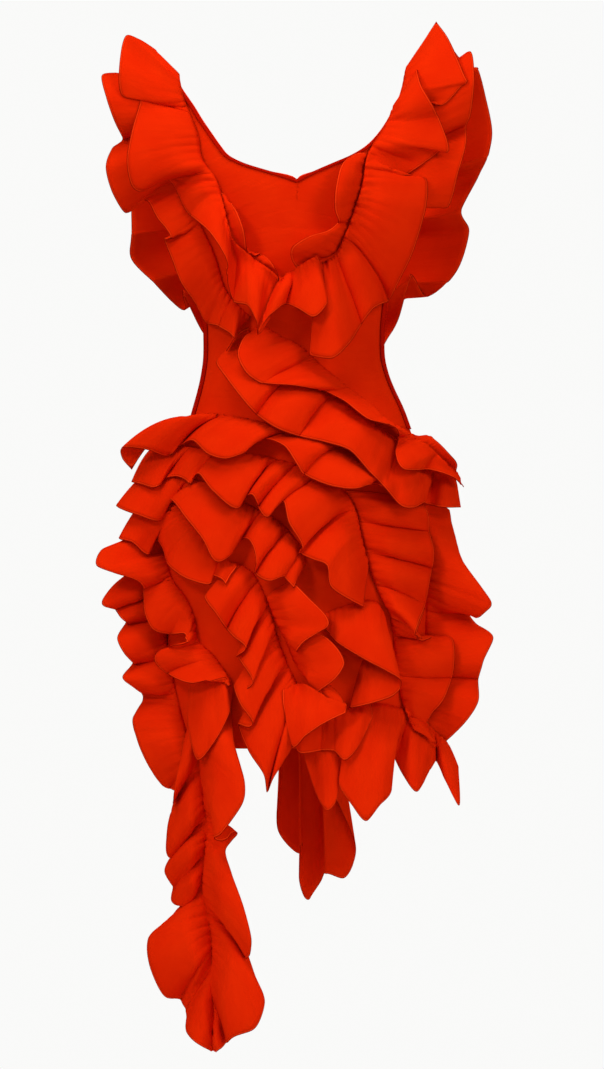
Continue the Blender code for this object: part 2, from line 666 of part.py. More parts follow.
def crossed(grid):
    """Which rows of the grid have a wall that crosses itself."""
    rows, columns = grid.shape[:2]
    middle = grid.reshape(-1, 3)
    other = rows * columns
    faces = triangles(grid)
    shape = bmesh.new()
    vertices = [shape.verts.new(point) for point in middle]
    for face in faces:
        shape.faces.new([vertices[corner] for corner in face])
    shape.normal_update()
    shape.verts.index_update()
    normals = np.array([vertex.normal for vertex in vertices]) * CROSSING_WALL / 2
    rim = [[vertex.index for vertex in edge.verts] for edge in shape.edges if edge.is_boundary]
    shape.free()
    points = np.concatenate([middle + normals, middle - normals])
    faces += [tuple(corner + other for corner in face) for face in faces]
    faces += [(first, second, second + other) for first, second in rim]
    faces += [(first, second + other, first + other) for first, second in rim]
    tree = BVHTree.FromPolygons([tuple(point) for point in points], faces)
    found = np.zeros(rows, bool)
    for first, second in tree.overlap(tree):
        if not set(faces[first]) & set(faces[second]):
            for corner in faces[first] + faces[second]:
                found[corner % other // columns] = True
    return found


def uncross(grid, rest, facing):
    """Eases the rows whose wall crosses itself towards their neighbours until it doesn't."""
    for _ in range(CROSSING_ROUNDS):
        found = crossed(grid)
        if not found.any():
            break
        padded = np.concatenate([2 * grid[:1] - grid[1:2], grid, 2 * grid[-1:] - grid[-2:-1]])
        grid[found] = (grid[found] * 2 + padded[:-2][found] + padded[2:][found]) / 4
        stand_off(grid, rest, facing)


def hang(start, folds, rest, facing, most_rise=MOST_RISE):
    """A grid of cloth from its seam to its free edge."""
    end = free_edge(folds, facing)
    lifts = curve([(fold[3],) for fold in folds], SEGMENTS_PER_FOLD)[:, 0]
    narrow = np.linalg.norm(end - start, axis=1).mean() < NARROW_STRIP
    shares = np.linspace(0.0, 1.0, 3 if narrow else 4)
    grid = start[:, None] * (1 - shares)[None, :, None] + end[:, None] * shares[None, :, None]
    hump = 4 * shares * (1 - shares)
    swell = SWELL * np.clip((lifts - NO_SWELL_LIFT) / (FULL_SWELL_LIFT - NO_SWELL_LIFT), -1.0, 1.0)
    swell *= np.abs(end[:, 1] - start[:, 1])
    drop = np.maximum(start[:, 2] - end[:, 2], 0.0)
    rise = np.minimum(RISE * np.abs(end[:, 0] - start[:, 0]), most_rise * drop)
    grid[..., 1] += facing * swell[:, None] * hump[None, :]
    grid[..., 2] += rise[:, None] * hump[None, :]
    stand_off(grid, rest, facing)
    return grid


def lay(name, grid, layers, rest, facing, material):
    """Lays a strip over those below it and makes it."""
    uncross(grid, rest, facing)
    layers.clear(grid, facing)
    uncross(grid, rest, facing)
    layers.seat(grid, facing)
    layers.add(grid, facing)
    add_cloth(name, [grid], material, WALL, layers.made)


def add_ruffle(name, seam, folds, layers, facing, material, rest):
    most_rise = PUFFED_RISE if name in PUFFED_RUFFLES else MOST_RISE
    grid = hang(seam_points(seam, folds, rest, facing), folds, rest, facing, most_rise)
    lay(name, grid, layers, rest, facing, material)


def add_tail(layers, material):
    """The two free halves of the tail share its seam, so they are one piece."""
    left = [(row[0], *row[1:4]) for row in TAIL]
    right = [(row[0], *row[4:7]) for row in TAIL]
    start = seam_points(TAIL_SEAM, left, SEAM_REST, -1)
    left_half = hang(start, left, SEAM_REST, -1)
    right_half = hang(start, right, SEAM_REST, -1)
    grid = np.concatenate([left_half[:, ::-1], right_half[:, 1:]], axis=1)
    lay("tail_ruffle", grid, layers, SEAM_REST, -1, material)


def tier_folds(edge_height, waves, crest_lift):
    """Even waves around the back of the skirt, hollow and crest in turn."""
    folds = []
    for step in range(2 * waves + 1):
        crest = step % 2
        share = step / (2 * waves)
        height = edge_height - (WAVE_DROP if crest else 0.0)
        angle = math.radians(TIER_ANGLE * (2 * share - 1))
        across, forward, _ = at_angle(angle, height, crest_lift if crest else HOLLOW_LIFT)
        folds.append((100 * share, across, height, -forward - depth_at(across, height, 0.0)))
    return folds


def tier_seam(seam_height):
    angles = np.radians(np.linspace(-TIER_ANGLE, TIER_ANGLE, 2 * SEAM_STEPS + 1))
    points = [at_angle(angle, seam_height, SEAM_REST) for angle in angles]
    return [(point[0], point[2]) for point in points]


def bodice_line(inner, outer, clear):
    return np.array([on_front(*(inner * (1 - share) + outer * share), clear)
                     for share in np.linspace(0.0, 1.0, BODICE_COLUMNS + 1)])


def bodice_edges(side):
    """The inner and outer ends of the bodice's rows on one side: 0 is left and 1 right."""
    inner = [np.array([row[side], row[2]], float) for row in BODICE]
    outer = [np.array([row[3 + side], row[5]], float) for row in BODICE]
    for point in outer:
        middle, half_width, _ = between(BODY, point[1])
        limit = half_width * math.sin(SIDE_ANGLE)
        point[0] = min(max(point[0], middle - limit), middle + limit)
    return inner, outer


def add_bodice(material, made):
    grids = []
    for side in (0, 1):
        inner, outer = bodice_edges(side)
        grids.append(np.array([bodice_line(a, b, 0.0) for a, b in zip(inner, outer)]))
    add_cloth("front_bodice", grids, material, WALL, made)


def binding(edge, towards, clear):
    """Rows of a binding along an edge of the bodice, made from the bodice's points and moved out."""
    rows = []
    for start, end in zip(edge, towards):
        share = BINDING_WIDTH / np.linalg.norm(end - start)
        rows.append([on_front(*start, clear), on_front(*(start * (1 - share) + end * share), clear)])
    return np.array(rows)


def add_bindings(material, made):
    clear = (WALL + BINDING_WALL) / 2 + SEAM_GAP
    neck = []
    for side, name in ((0, "left_side_binding"), (1, "right_side_binding")):
        inner, outer = bodice_edges(side)
        add_cloth(name, [binding(outer, inner, clear)], material, BINDING_WALL, made)
        below_point = inner[NECK_ROW] - np.array([0.0, BINDING_WIDTH])
        neck.append(binding(inner[NECK_ROW:], [below_point] + outer[NECK_ROW + 1:], clear))
    add_cloth("neck_binding", neck, material, BINDING_WALL, made)


def add_skirt(material, made):
    heights = np.linspace(WAIST_SEAM - WALL / 2, SKIRT_HEM, SKIRT_ROWS + 1)
    angles = np.linspace(-SKIRT_SIDE_ANGLE, SKIRT_SIDE_ANGLE, SKIRT_COLUMNS + 1)
    front = np.array([[at_angle(angle, height, 0.0) for angle in angles] for height in heights])
    back = front * np.array([1.0, -1.0, 1.0])
    add_cloth("skirt_front", [front], material, WALL, made)
    add_cloth("skirt_back", [back], material, WALL, made)


def add_straps(material, made):
    for name, hand in (("left_shoulder_strap", -1), ("right_shoulder_strap", 1)):
        rows = []
        for inner, outer, height, side in curve(STRAP, 2):
            line = []
            for share in (0.0, 0.5, 1.0):
                across = hand * (inner * (1 - share) + outer * share)
                depth = depth_at(across, height, 0.0)
                line.append(np.array([across, side * depth, height]))
            rows.append(line)
        add_cloth(name, [np.array(rows)], material, WALL, made)


def main():
    for old in list(bpy.data.objects):
        bpy.data.objects.remove(old, do_unlink=True)
    crepe = cloth_material("red crepe", (0.74, 0.035, 0.008), 0.62)
    bound = cloth_material("bound edge", (0.55, 0.02, 0.006), 0.55)
    made = []
    add_bodice(crepe, made)
    add_bindings(bound, made)
    add_skirt(crepe, made)
    add_straps(crepe, made)
    front = Layers(made)
    for name, seam, folds in FRONT_RUFFLES:
        if name == "tail_leaf":
            add_tail(front, crepe)
        rest = HIGH_REST if name in HIGH_RUFFLES else SEAM_REST
        add_ruffle(name, seam, folds, front, -1, crepe, rest)
    back = Layers(made)
    for name, seam, folds in BACK_RUFFLES:
        add_ruffle(name, seam, folds, back, 1, crepe, SEAM_REST)
    for name, seam_height, edge_height, waves, crest_lift in BACK_TIERS:
        folds = tier_folds(edge_height, waves, crest_lift)
        add_ruffle(name, tier_seam(seam_height), folds, back, 1, crepe, BACK_REST)
    for name, seam, folds in BACK_STRAP_RUFFLES:
        add_ruffle(name, seam, folds, back, 1, crepe, HIGH_REST)


main()
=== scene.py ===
import math

import bmesh
import bpy
import numpy as np
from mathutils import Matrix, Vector
from mathutils.bvhtree import BVHTree


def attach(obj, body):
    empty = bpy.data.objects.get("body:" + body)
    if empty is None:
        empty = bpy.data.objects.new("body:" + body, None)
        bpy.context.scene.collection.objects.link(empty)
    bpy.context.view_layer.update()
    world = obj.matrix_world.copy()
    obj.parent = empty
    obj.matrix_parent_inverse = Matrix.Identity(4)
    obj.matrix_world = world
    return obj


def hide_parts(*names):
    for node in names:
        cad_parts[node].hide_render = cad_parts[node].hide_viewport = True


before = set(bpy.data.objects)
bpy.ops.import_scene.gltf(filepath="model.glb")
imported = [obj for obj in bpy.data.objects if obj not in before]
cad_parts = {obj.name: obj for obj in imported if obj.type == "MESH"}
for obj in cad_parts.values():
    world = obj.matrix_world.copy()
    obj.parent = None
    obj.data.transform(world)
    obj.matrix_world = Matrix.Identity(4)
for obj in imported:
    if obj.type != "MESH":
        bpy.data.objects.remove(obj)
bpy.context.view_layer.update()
mm = 0.001

# How the dress is cut and how its cloth falls, as in the solids.
cut = {
    "wall": 1.6, "bindingWall": 1.0, "bindingWidth": 5.0,
    "seamGap": 0.65,
    "swell": 0.22, "fullSwellLift": 26.0, "noSwellLift": 14.0,
    "rise": 0.22, "mostRise": 0.2, "puffedRise": 0.4,
    "leastForward": 1.6,
    "waistSeam": -467.0, "skirtHem": -878.0,
}
seamRest = cut["wall"] + 0.8
backRest = seamRest + 0.8
highRest = seamRest + cut["bindingWall"] + 0.7

# What the finer cloth of this script adds.
fine = {
    "stepsPerFold": 12, "stepsAcross": 16,
    "crispness": 0.88,       # 1 rounds a fold all the way, 0 makes its turn sharp
    "deeper": 0.15, "evenLift": 16.0,   # folds stand this much further from an even lift than in the solids
    "shell": 1.0,            # thickness of the cloth, mm
    "cell": 2.5, "layerGap": 1.7, "easeRounds": 10,
    "farFromHem": 60.0, "weld": 0.04,
}


def addObject(name, data):
    made = bpy.data.objects.new(name, data)
    bpy.context.collection.objects.link(made)
    return made


# The photograph's view: level and square to the front, from about 7 m away. It is 1389.7 mm high there.
view = {"across": 0.0065, "height": -0.60385, "away": 7.05, "shows": 1.3897}
cameraData = bpy.data.cameras.new("camera")
cameraData.sensor_width = 36.0
cameraData.lens = 36.0 * view["away"] / view["shows"]
cameraData.clip_end = 100.0
camera = addObject("camera", cameraData)
camera.location = (view["across"], -view["away"], view["height"])
camera.rotation_euler = (math.pi / 2, 0.0, 0.0)
bpy.context.scene.camera = camera
print("camera placed")

# Each ruffle, in the order in which it is laid. seam: (across, height). folds: (percent along the seam,
# across, height, lift of the free edge over the figure).
frontRuffles = [
    {"name": "skirtRuffleLeftSide", "seam": [(-188, -640), (-180, -690), (-170, -740), (-160, -790),
     (-148, -840), (-134, -885), (-126, -925)],
     "folds": [(0, -226, -660, 4), (5, -240, -673, 14), (10, -251, -689, 26), (15, -238, -699, 14),
     (20, -229, -711, 20), (25, -222, -718, 6), (31, -232, -736, 30), (37, -226, -753, 30),
     (43, -213, -771, 8), (49, -225, -787, 28), (54, -216, -797, 22), (59, -203, -808, 8),
     (64, -200, -820, 12), (70, -212, -843, 28), (77, -205, -872, 36), (84, -190, -905, 36),
     (92, -172, -929, 26), (100, -150, -936, 10)]},
    {"name": "skirtRuffleRightSide", "seam": [(160, -556), (165, -600), (167, -650), (167, -700),
     (166, -760), (164, -820), (158, -858)],
     "folds": [(0, 198, -572, 3), (10, 203, -600, 8), (20, 214, -638, 26), (30, 239, -673, 36),
     (37, 249, -690, 38), (43, 238, -707, 28), (49, 224, -706, 8), (55, 232, -720, 14), (61, 253, -735, 34),
     (68, 243, -762, 42), (76, 235, -790, 30), (84, 234, -820, 40), (91, 216, -848, 36),
     (100, 184, -880, 18)]},
    {"name": "hemRuffleCentre", "seam": [(10, -846), (36, -848), (62, -844)],
     "folds": [(0, 10, -888, 4), (20, 25, -934, 12), (40, 38, -955, 24), (60, 49, -945, 26),
     (80, 53, -921, 20), (100, 60, -893, 10)]},
    {"name": "hemRuffleRight", "seam": [(62, -826), (95, -820), (130, -826), (160, -842), (186, -866)],
     "folds": [(0, 60, -893, 6), (8, 54, -922, 24), (18, 70, -948, 38), (27, 87, -968, 46),
     (37, 104, -950, 46), (46, 118, -934, 36), (54, 121, -905, 18), (60, 124, -890, 4), (66, 136, -912, 24),
     (74, 152, -933, 42), (82, 166, -915, 38), (88, 180, -897, 12), (93, 192, -922, 26), (97, 209, -953, 32),
     (100, 208, -905, 16)]},
    {"name": "skirtRuffleRightLower", "seam": [(118, -690), (124, -735), (128, -785), (140, -830),
     (152, -856)],
     "folds": [(0, 165, -700, 20), (10, 154, -728, 36), (18, 158, -739, 34), (26, 178, -736, 18),
     (35, 199, -737, 34), (45, 203, -757, 46), (56, 200, -788, 38), (67, 189, -816, 48), (77, 176, -831, 36),
     (86, 169, -847, 20), (93, 173, -866, 30), (100, 183, -880, 20)]},
    {"name": "skirtRuffleCentreHem", "seam": [(-6, -812), (25, -822), (60, -828), (92, -816)],
     "folds": [(0, -2, -870, 8), (16, 4, -882, 22), (36, 28, -880, 14), (56, 48, -880, 24),
     (76, 61, -891, 36), (90, 76, -876, 30), (100, 96, -838, 14)]},
    {"name": "tailLeaf", "seam": [(-132, -776), (-111, -772), (-90, -784)],
     "folds": [(0, -137, -804, 10), (20, -139, -846, 24), (42, -127, -892, 36), (62, -104, -867, 30),
     (82, -87, -834, 28), (100, -84, -804, 12)]},
    {"name": "skirtRuffleLeftLower", "seam": [(-178, -596), (-170, -632), (-161, -662), (-142, -687),
     (-133, -712), (-129, -738), (-106, -760), (-91, -782), (-86, -798)],
     "folds": [(0, -228, -614, 8), (6, -252, -624, 34), (12, -259, -642, 46), (18, -240, -652, 48),
     (25, -212, -661, 42), (31, -199, -674, 26), (37, -197, -702, 36), (43, -186, -726, 44),
     (49, -165, -732, 44), (54, -151, -732, 38), (60, -142, -738, 34), (66, -143, -744, 38),
     (72, -176, -754, 48), (77, -183, -767, 50), (84, -165, -784, 48), (91, -135, -794, 40),
     (100, -92, -785, 22)]},
    {"name": "skirtRuffleCentreLeft", "seam": [(-78, -640), (-55, -655), (-38, -690), (-28, -725),
     (-18, -755), (-5, -785), (4, -806)],
     "folds": [(0, -92, -668, 18), (6, -117, -683, 32), (13, -105, -703, 36), (20, -92, -722, 20),
     (26, -80, -735, 32), (32, -68, -745, 36), (38, -75, -758, 16), (44, -70, -768, 30), (50, -58, -787, 38),
     (56, -66, -798, 22), (62, -80, -797, 26), (69, -72, -820, 38), (75, -59, -840, 32), (81, -74, -848, 16),
     (87, -61, -880, 34), (92, -44, -906, 38), (95, -38, -932, 14), (97, -30, -914, 34),
     (100, -8, -878, 20)]},
    {"name": "skirtRuffleRightLeaf", "seam": [(34, -706), (60, -696), (88, -688), (106, -694), (110, -722),
     (100, -752), (86, -764)],
     "folds": [(0, 38, -724, 10), (15, 52, -742, 30), (32, 84, -762, 46), (48, 114, -778, 54),
     (60, 131, -789, 52), (70, 132, -800, 44), (80, 120, -811, 42), (90, 92, -820, 36),
     (100, 68, -826, 20)]},
    {"name": "skirtRuffleCentreRight", "seam": [(-38, -684), (-28, -712), (-14, -740), (-2, -768),
     (14, -790), (30, -810)],
     "folds": [(0, -6, -662, 14), (9, 14, -683, 32), (18, 36, -705, 46), (25, 39, -719, 46),
     (32, 14, -737, 34), (39, 2, -752, 12), (45, 28, -732, 22), (52, 48, -744, 40), (59, 60, -764, 48),
     (66, 52, -783, 44), (73, 33, -800, 26), (79, 44, -798, 24), (86, 58, -815, 38), (93, 58, -831, 44),
     (100, 40, -840, 30)]},
    {"name": "skirtRuffleCentreLower", "seam": [(-18, -802), (8, -794), (40, -812), (62, -820)],
     "folds": [(0, -12, -845, 10), (20, -4, -874, 36), (45, 12, -859, 48), (70, 34, -844, 42),
     (100, 62, -831, 22)]},
    {"name": "hipRuffleRight", "seam": [(62, -548), (76, -576), (82, -606), (91, -640), (106, -680),
     (122, -710)],
     "folds": [(0, 158, -562, 10), (13, 168, -574, 34), (25, 171, -598, 24), (37, 176, -622, 44),
     (48, 175, -645, 30), (60, 171, -664, 46), (72, 165, -695, 30), (84, 156, -716, 44), (92, 152, -732, 36),
     (100, 160, -738, 24)]},
    {"name": "skirtRuffleLeftMiddle", "seam": [(-194, -553), (-165, -561), (-140, -581), (-116, -611),
     (-95, -634), (-76, -645)],
     "folds": [(0, -219, -596, 4), (8, -230, -609, 18), (16, -214, -614, 30), (24, -199, -626, 26),
     (31, -196, -608, 18), (38, -184, -608, 24), (46, -174, -620, 38), (55, -166, -642, 44),
     (65, -146, -658, 40), (76, -118, -667, 28), (84, -112, -657, 10), (92, -98, -660, 26),
     (100, -92, -668, 22)]},
    {"name": "skirtRuffleLeftUpper", "seam": [(-186, -522), (-150, -528), (-112, -540), (-84, -556),
     (-50, -572), (-20, -590), (4, -618), (10, -640)],
     "folds": [(0, -226, -560, 4), (5, -233, -568, 20), (11, -206, -579, 36), (18, -182, -585, 28),
     (24, -173, -563, 8), (30, -160, -561, 26), (37, -143, -582, 40), (45, -122, -608, 44),
     (52, -108, -633, 38), (58, -90, -632, 26), (64, -72, -612, 8), (69, -60, -612, 24), (75, -53, -630, 36),
     (81, -54, -652, 28), (87, -38, -663, 38), (93, -18, -658, 26), (100, -5, -672, 28)]},
    {"name": "hipRuffleLeft", "seam": [(-184, -490), (-150, -489), (-110, -496), (-60, -502), (-10, -512),
     (30, -530), (60, -548), (75, -574), (82, -606), (90, -640)],
     "folds": [(0, -214, -536, 4), (5, -200, -540, 22), (10, -186, -543, 36), (15, -172, -532, 14),
     (20, -155, -530, 28), (25, -139, -537, 12), (30, -126, -527, 30), (35, -110, -546, 40),
     (41, -86, -567, 36), (46, -71, -562, 12), (50, -60, -554, 30), (54, -51, -566, 16), (58, -41, -581, 36),
     (62, -28, -570, 14), (66, -17, -563, 28), (71, -11, -588, 36), (76, 3, -612, 26), (80, 3, -627, 20),
     (84, 20, -636, 34), (89, 38, -644, 42), (94, 44, -672, 34), (100, 84, -697, 20)]},
    {"name": "peplumRuffle", "seam": [(-142, -458), (-116, -454), (-92, -453), (-58, -459), (-20, -468),
     (20, -478), (62, -494), (100, -522), (128, -550)],
     "folds": [(0, -214, -520, 2), (3, -226, -506, 8), (6, -226, -492, 22), (11, -196, -494, 38),
     (16, -172, -501, 30), (21, -152, -490, 22), (26, -134, -484, 42), (32, -116, -500, 50),
     (38, -96, -507, 46), (44, -74, -502, 38), (50, -54, -487, 22), (55, -38, -483, 26), (60, -18, -491, 40),
     (65, -5, -508, 46), (71, 8, -527, 36), (78, 38, -541, 46), (85, 68, -546, 48), (91, 92, -540, 30),
     (96, 110, -544, 36), (100, 126, -557, 26)]},
    {"name": "waistRuffleLower", "seam": [(-62, -338), (-52, -372), (-26, -396), (12, -408), (52, -428),
     (92, -456), (130, -484), (166, -508), (203, -530)],
     "folds": [(0, -84, -366, 14), (6, -103, -382, 26), (13, -92, -402, 34), (21, -70, -431, 38),
     (29, -52, -451, 30), (37, -28, -468, 38), (45, 2, -479, 28), (53, 36, -487, 38), (61, 66, -497, 44),
     (68, 88, -520, 36), (75, 112, -545, 32), (82, 132, -567, 38), (87, 147, -570, 30), (91, 162, -564, 12),
     (96, 186, -569, 28), (100, 211, -569, 22)]},
    {"name": "waistRuffleEnd", "seam": [(138, -474), (160, -495), (180, -511), (197, -527)],
     "folds": [(0, 152, -479, 5), (18, 168, -477, 16), (36, 182, -484, 24), (54, 195, -497, 24),
     (70, 204, -508, 16), (84, 208, -524, 12), (100, 217, -542, 14)]},
    {"name": "waistRuffleUpper", "seam": [(-44, -334), (-18, -352), (6, -364), (30, -386), (62, -412),
     (88, -432), (120, -460), (150, -478), (176, -495), (202, -523)],
     "folds": [(0, -52, -341, 10), (6, -68, -353, 28), (12, -76, -374, 40), (19, -66, -396, 42),
     (27, -44, -411, 30), (36, -10, -414, 42), (45, 28, -419, 30), (53, 58, -433, 42), (62, 88, -456, 46),
     (70, 118, -464, 28), (76, 129, -478, 12), (81, 126, -502, 26), (86, 136, -521, 38), (92, 170, -521, 46),
     (97, 199, -530, 36), (100, 212, -540, 22)]},
    {"name": "leftUnderRuffle", "seam": [(-164, -14), (-160, -60), (-152, -115), (-141, -165), (-124, -205),
     (-106, -245), (-94, -285), (-76, -310), (-60, -324)],
     "folds": [(0, -236, -4, 3), (4, -253, -10, 18), (9, -247, -38, 32), (14, -238, -64, 26),
     (19, -227, -90, 4), (24, -240, -104, 12), (29, -247, -128, 24), (34, -240, -158, 20),
     (39, -222, -186, 6), (44, -197, -170, 8), (50, -182, -192, 26), (56, -167, -213, 38),
     (60, -171, -223, 26), (66, -161, -248, 38), (72, -150, -278, 42), (79, -133, -302, 32),
     (85, -120, -325, 28), (90, -100, -337, 24), (95, -81, -352, 32), (100, -90, -369, 24)]},
    {"name": "rightUnderRuffle", "seam": [(163, -15), (161, -60), (152, -105), (132, -150), (112, -190),
     (92, -225)],
     "folds": [(0, 212, 16, 3), (8, 226, 20, 22), (18, 229, -14, 38), (30, 226, -50, 28), (40, 220, -72, 8),
     (52, 219, -98, 30), (64, 208, -138, 38), (76, 196, -176, 24), (86, 174, -146, 6),
     (100, 165, -188, 10)]},
    {"name": "leftStrapRuffleInner", "seam": [(-97, -164), (-92, -195), (-84, -222), (-62, -244),
     (-36, -262), (-18, -280)],
     "folds": [(0, -90, -178, 8), (18, -78, -188, 24), (36, -68, -212, 30), (52, -62, -240, 14),
     (66, -42, -247, 12), (82, -27, -264, 24), (100, -17, -288, 14)]},
    {"name": "leftStrapRuffle", "seam": [(-152, -8), (-147, -38), (-129, -85), (-122, -120), (-104, -147),
     (-96, -175), (-85, -222), (-62, -246), (-40, -262), (-24, -276)],
     "folds": [(0, -185, 27, 2), (2, -206, 40, 3), (4, -223, 43, 6), (8, -229, 8, 28), (12, -228, -29, 26),
     (16, -207, -41, 4), (20, -203, -46, 26), (26, -212, -80, 40), (32, -219, -118, 48),
     (37, -215, -148, 42), (41, -203, -158, 30), (46, -170, -146, 6), (51, -156, -158, 22),
     (56, -140, -190, 42), (62, -112, -218, 50), (68, -92, -250, 46), (73, -89, -278, 36),
     (79, -81, -306, 32), (85, -62, -313, 44), (91, -52, -332, 50), (96, -49, -349, 38),
     (100, -36, -330, 26)]},
    {"name": "rightStrapRuffleInner", "seam": [(92, -114), (84, -132), (82, -156), (71, -192), (60, -221),
     (49, -242), (26, -252), (8, -257)],
     "folds": [(0, 70, -120, 8), (12, 56, -134, 24), (26, 49, -163, 34), (40, 48, -185, 30),
     (52, 52, -204, 22), (62, 40, -217, 36), (74, 14, -225, 42), (84, -6, -238, 38), (92, -7, -252, 26),
     (100, 2, -268, 16)]},
    {"name": "rightStrapRuffle", "seam": [(141, 0), (134, -32), (122, -60), (111, -82), (91, -116),
     (84, -156), (73, -192), (62, -221), (50, -246), (27, -258)],
     "folds": [(0, 181, 63, 2), (4, 196, 38, 20), (8, 214, -6, 38), (11, 216, -19, 32), (15, 184, -50, 4),
     (19, 157, -4, 12), (23, 161, -28, 36), (28, 180, -62, 50), (33, 194, -100, 54), (37, 186, -108, 38),
     (42, 140, -142, 8), (46, 122, -142, 12), (50, 150, -144, 38), (54, 166, -147, 52), (60, 167, -175, 58),
     (66, 160, -206, 52), (72, 148, -243, 46), (78, 130, -280, 34), (83, 119, -301, 22), (88, 100, -313, 30),
     (91, 84, -333, 20), (94, 66, -361, 42), (97, 45, -380, 50), (100, 16, -376, 34)]},
    {"name": "centreRuffle", "seam": [(-22, -281), (-6, -268), (10, -257), (26, -249)],
     "folds": [(0, -50, -350, 24), (20, -36, -328, 40), (38, -16, -311, 26), (54, 2, -317, 42),
     (70, 22, -328, 56), (86, 38, -311, 52), (100, 36, -294, 34)]},
]

backRuffles = [
    {"name": "backTrailingRuffle", "seam": [(-22, -836), (14, -834), (50, -836)],
     "folds": [(0, -23, -930, 4), (12, -26, -993, 24), (24, -4, -1024, 34), (34, 4, -1016, 10),
     (42, 3, -1062, 26), (50, 12, -1088, 40), (60, 27, -1072, 36), (70, 38, -1053, 12), (80, 62, -1060, 32),
     (88, 75, -1040, 38), (94, 76, -1010, 28), (100, 50, -950, 6)]},
]

backStrapRuffles = [
    {"name": "leftBackRuffle", "seam": [(-156, -20), (-154, -45), (-140, -95), (-120, -155), (-100, -225),
     (-82, -295), (-68, -362), (-60, -425)],
     "folds": [(0, -222, 42, 2), (7, -226, 4, 30), (14, -214, -36, 8), (22, -222, -82, 36),
     (30, -208, -120, 10), (38, -216, -164, 38), (45, -216, -212, 26), (52, -217, -242, 30),
     (58, -190, -272, 14), (64, -153, -308, 32), (70, -149, -290, 10), (78, -128, -330, 36),
     (85, -104, -372, 12), (93, -112, -424, 34), (100, -84, -448, 14)]},
    {"name": "rightBackRuffle", "seam": [(156, -20), (154, -45), (140, -95), (120, -155), (100, -225),
     (82, -295), (68, -362), (60, -425)],
     "folds": [(0, 181, 62, 2), (5, 214, 16, 22), (11, 235, 4, 14), (18, 248, -36, 36), (25, 255, -74, 34),
     (32, 249, -110, 14), (39, 238, -134, 30), (45, 214, -182, 8), (51, 225, -206, 32), (57, 215, -246, 36),
     (63, 196, -275, 14), (69, 170, -292, 34), (75, 150, -268, 8), (82, 132, -322, 34), (88, 106, -372, 12),
     (94, 112, -424, 34), (100, 84, -448, 14)]},
]

# The tail is gathered along its middle. tailFolds: (percent along the seam, then across, height and lift of
# its left edge and of its right edge).
tailSeam = [
    (-118, -806), (-124, -850), (-126, -891), (-120, -936), (-116, -975), (-118, -1014), (-122, -1053),
    (-117, -1079), (-111, -1112), (-109, -1138), (-110, -1170), (-108, -1215), (-107, -1264),
]

tailFolds = [
    (0, -140, -850, 6, -84, -826, 8), (7, -148, -890, 20, -80, -870, 26),
    (14, -156, -925, 28, -67, -915, 38), (20, -159, -948, 12, -68, -942, 40),
    (25, -166, -978, 28, -88, -974, 34), (31, -168, -1006, 32, -96, -983, 18),
    (36, -161, -1017, 12, -76, -987, 4), (41, -170, -1036, 28, -91, -1008, 16),
    (46, -160, -1058, 12, -84, -1034, 30), (50, -162, -1076, 24, -70, -1070, 40),
    (54, -147, -1083, 6, -60, -1105, 42), (58, -168, -1103, 30, -59, -1126, 30),
    (62, -191, -1124, 44, -63, -1140, 6), (66, -190, -1155, 48, -54, -1165, 28),
    (70, -176, -1190, 36, -41, -1195, 42), (74, -160, -1200, 12, -50, -1226, 40),
    (79, -143, -1218, 8, -72, -1239, 24), (86, -140, -1244, 22, -88, -1252, 5),
    (100, -112, -1265, 14, -102, -1265, 18),
]

# The figure that the dress is cut for: (height, middle, half width, half depth).
bodySections = [
    (90, 0, 150, 6), (30, 0, 176, 24), (0, 0, 184, 44), (-30, 0, 183, 66), (-70, 0, 176, 86),
    (-110, 0, 164, 101), (-156, 0, 147, 111), (-220, -1, 130, 109), (-290, -3, 120, 99),
    (-345, -4, 115.5, 93), (-390, -3, 118.5, 97), (-449, 2, 138, 107), (-510, 2, 157, 115),
    (-570, 0, 168, 120), (-700, 0, 167, 120), (-880, 0, 164, 119), (-1320, 0, 160, 116),
]

# The bodice's edges: (inner left, inner right, height, outer left, outer right, height).
bodiceRows = [(0, 0, inner, -200, 200, outer) for inner, outer in [
    (-467, -467), (-440, -440), (-410, -410), (-378, -378), (-345, -345), (-312, -312), (-280, -282),
    (-245, -255), (-212, -232), (-180, -214)]]
bodiceRows += [
    (0, 0, -149, -131, 131, -200), (-36, 23, -138, -137, 137, -183), (-66, 45, -128, -144, 144, -163),
    (-87, 69, -117, -150, 150, -141), (-98, 89, -104, -155, 155, -119), (-109, 104, -88, -159, 159, -97),
    (-121, 116, -70, -163, 163, -75), (-133, 126, -50, -167, 167, -53), (-147, 136, -29, -173, 173, -31),
    (-156, 146, -12, -177, 177, -13),
]

# (inner edge, outer edge, height, 1 at the back to -1 in front)
strapRows = [
    (156, 177, -9.5, -1), (157, 177, -4, -0.55), (157, 177, -2, 0), (157, 177, -4, 0.55),
    (156, 178, -10, 1), (146, 174, -40, 1), (126, 158, -90, 1), (106, 140, -150, 1), (84, 120, -220, 1),
    (66, 102, -290, 1), (52, 88, -360, 1), (42, 80, -425, 1), (38, 78, -467.2, 1),
]

# (name, height of the seam, height of the hem, lift of a crest)
backTiers = [
    ("backTier5", -792, -880, 24), ("backTier4", -714, -806, 28), ("backTier3", -636, -728, 30),
    ("backTier2", -558, -650, 29), ("backTier1", -476, -570, 27),
]

# Ruffles that stand up from their seam, that fan out in deep folds, and that are sewn on over a binding
puffedPieces = ("peplumRuffle", "waistRuffleEnd", "leftStrapRuffle")
hipPieces = ("hipRuffleRight", "waistRuffleLower")
highPieces = ("leftStrapRuffle", "rightStrapRuffle", "rightStrapRuffleInner", "leftStrapRuffleInner",
              "leftUnderRuffle", "rightUnderRuffle", "waistRuffleLower", "waistRuffleEnd", "peplumRuffle",
              "hipRuffleRight")


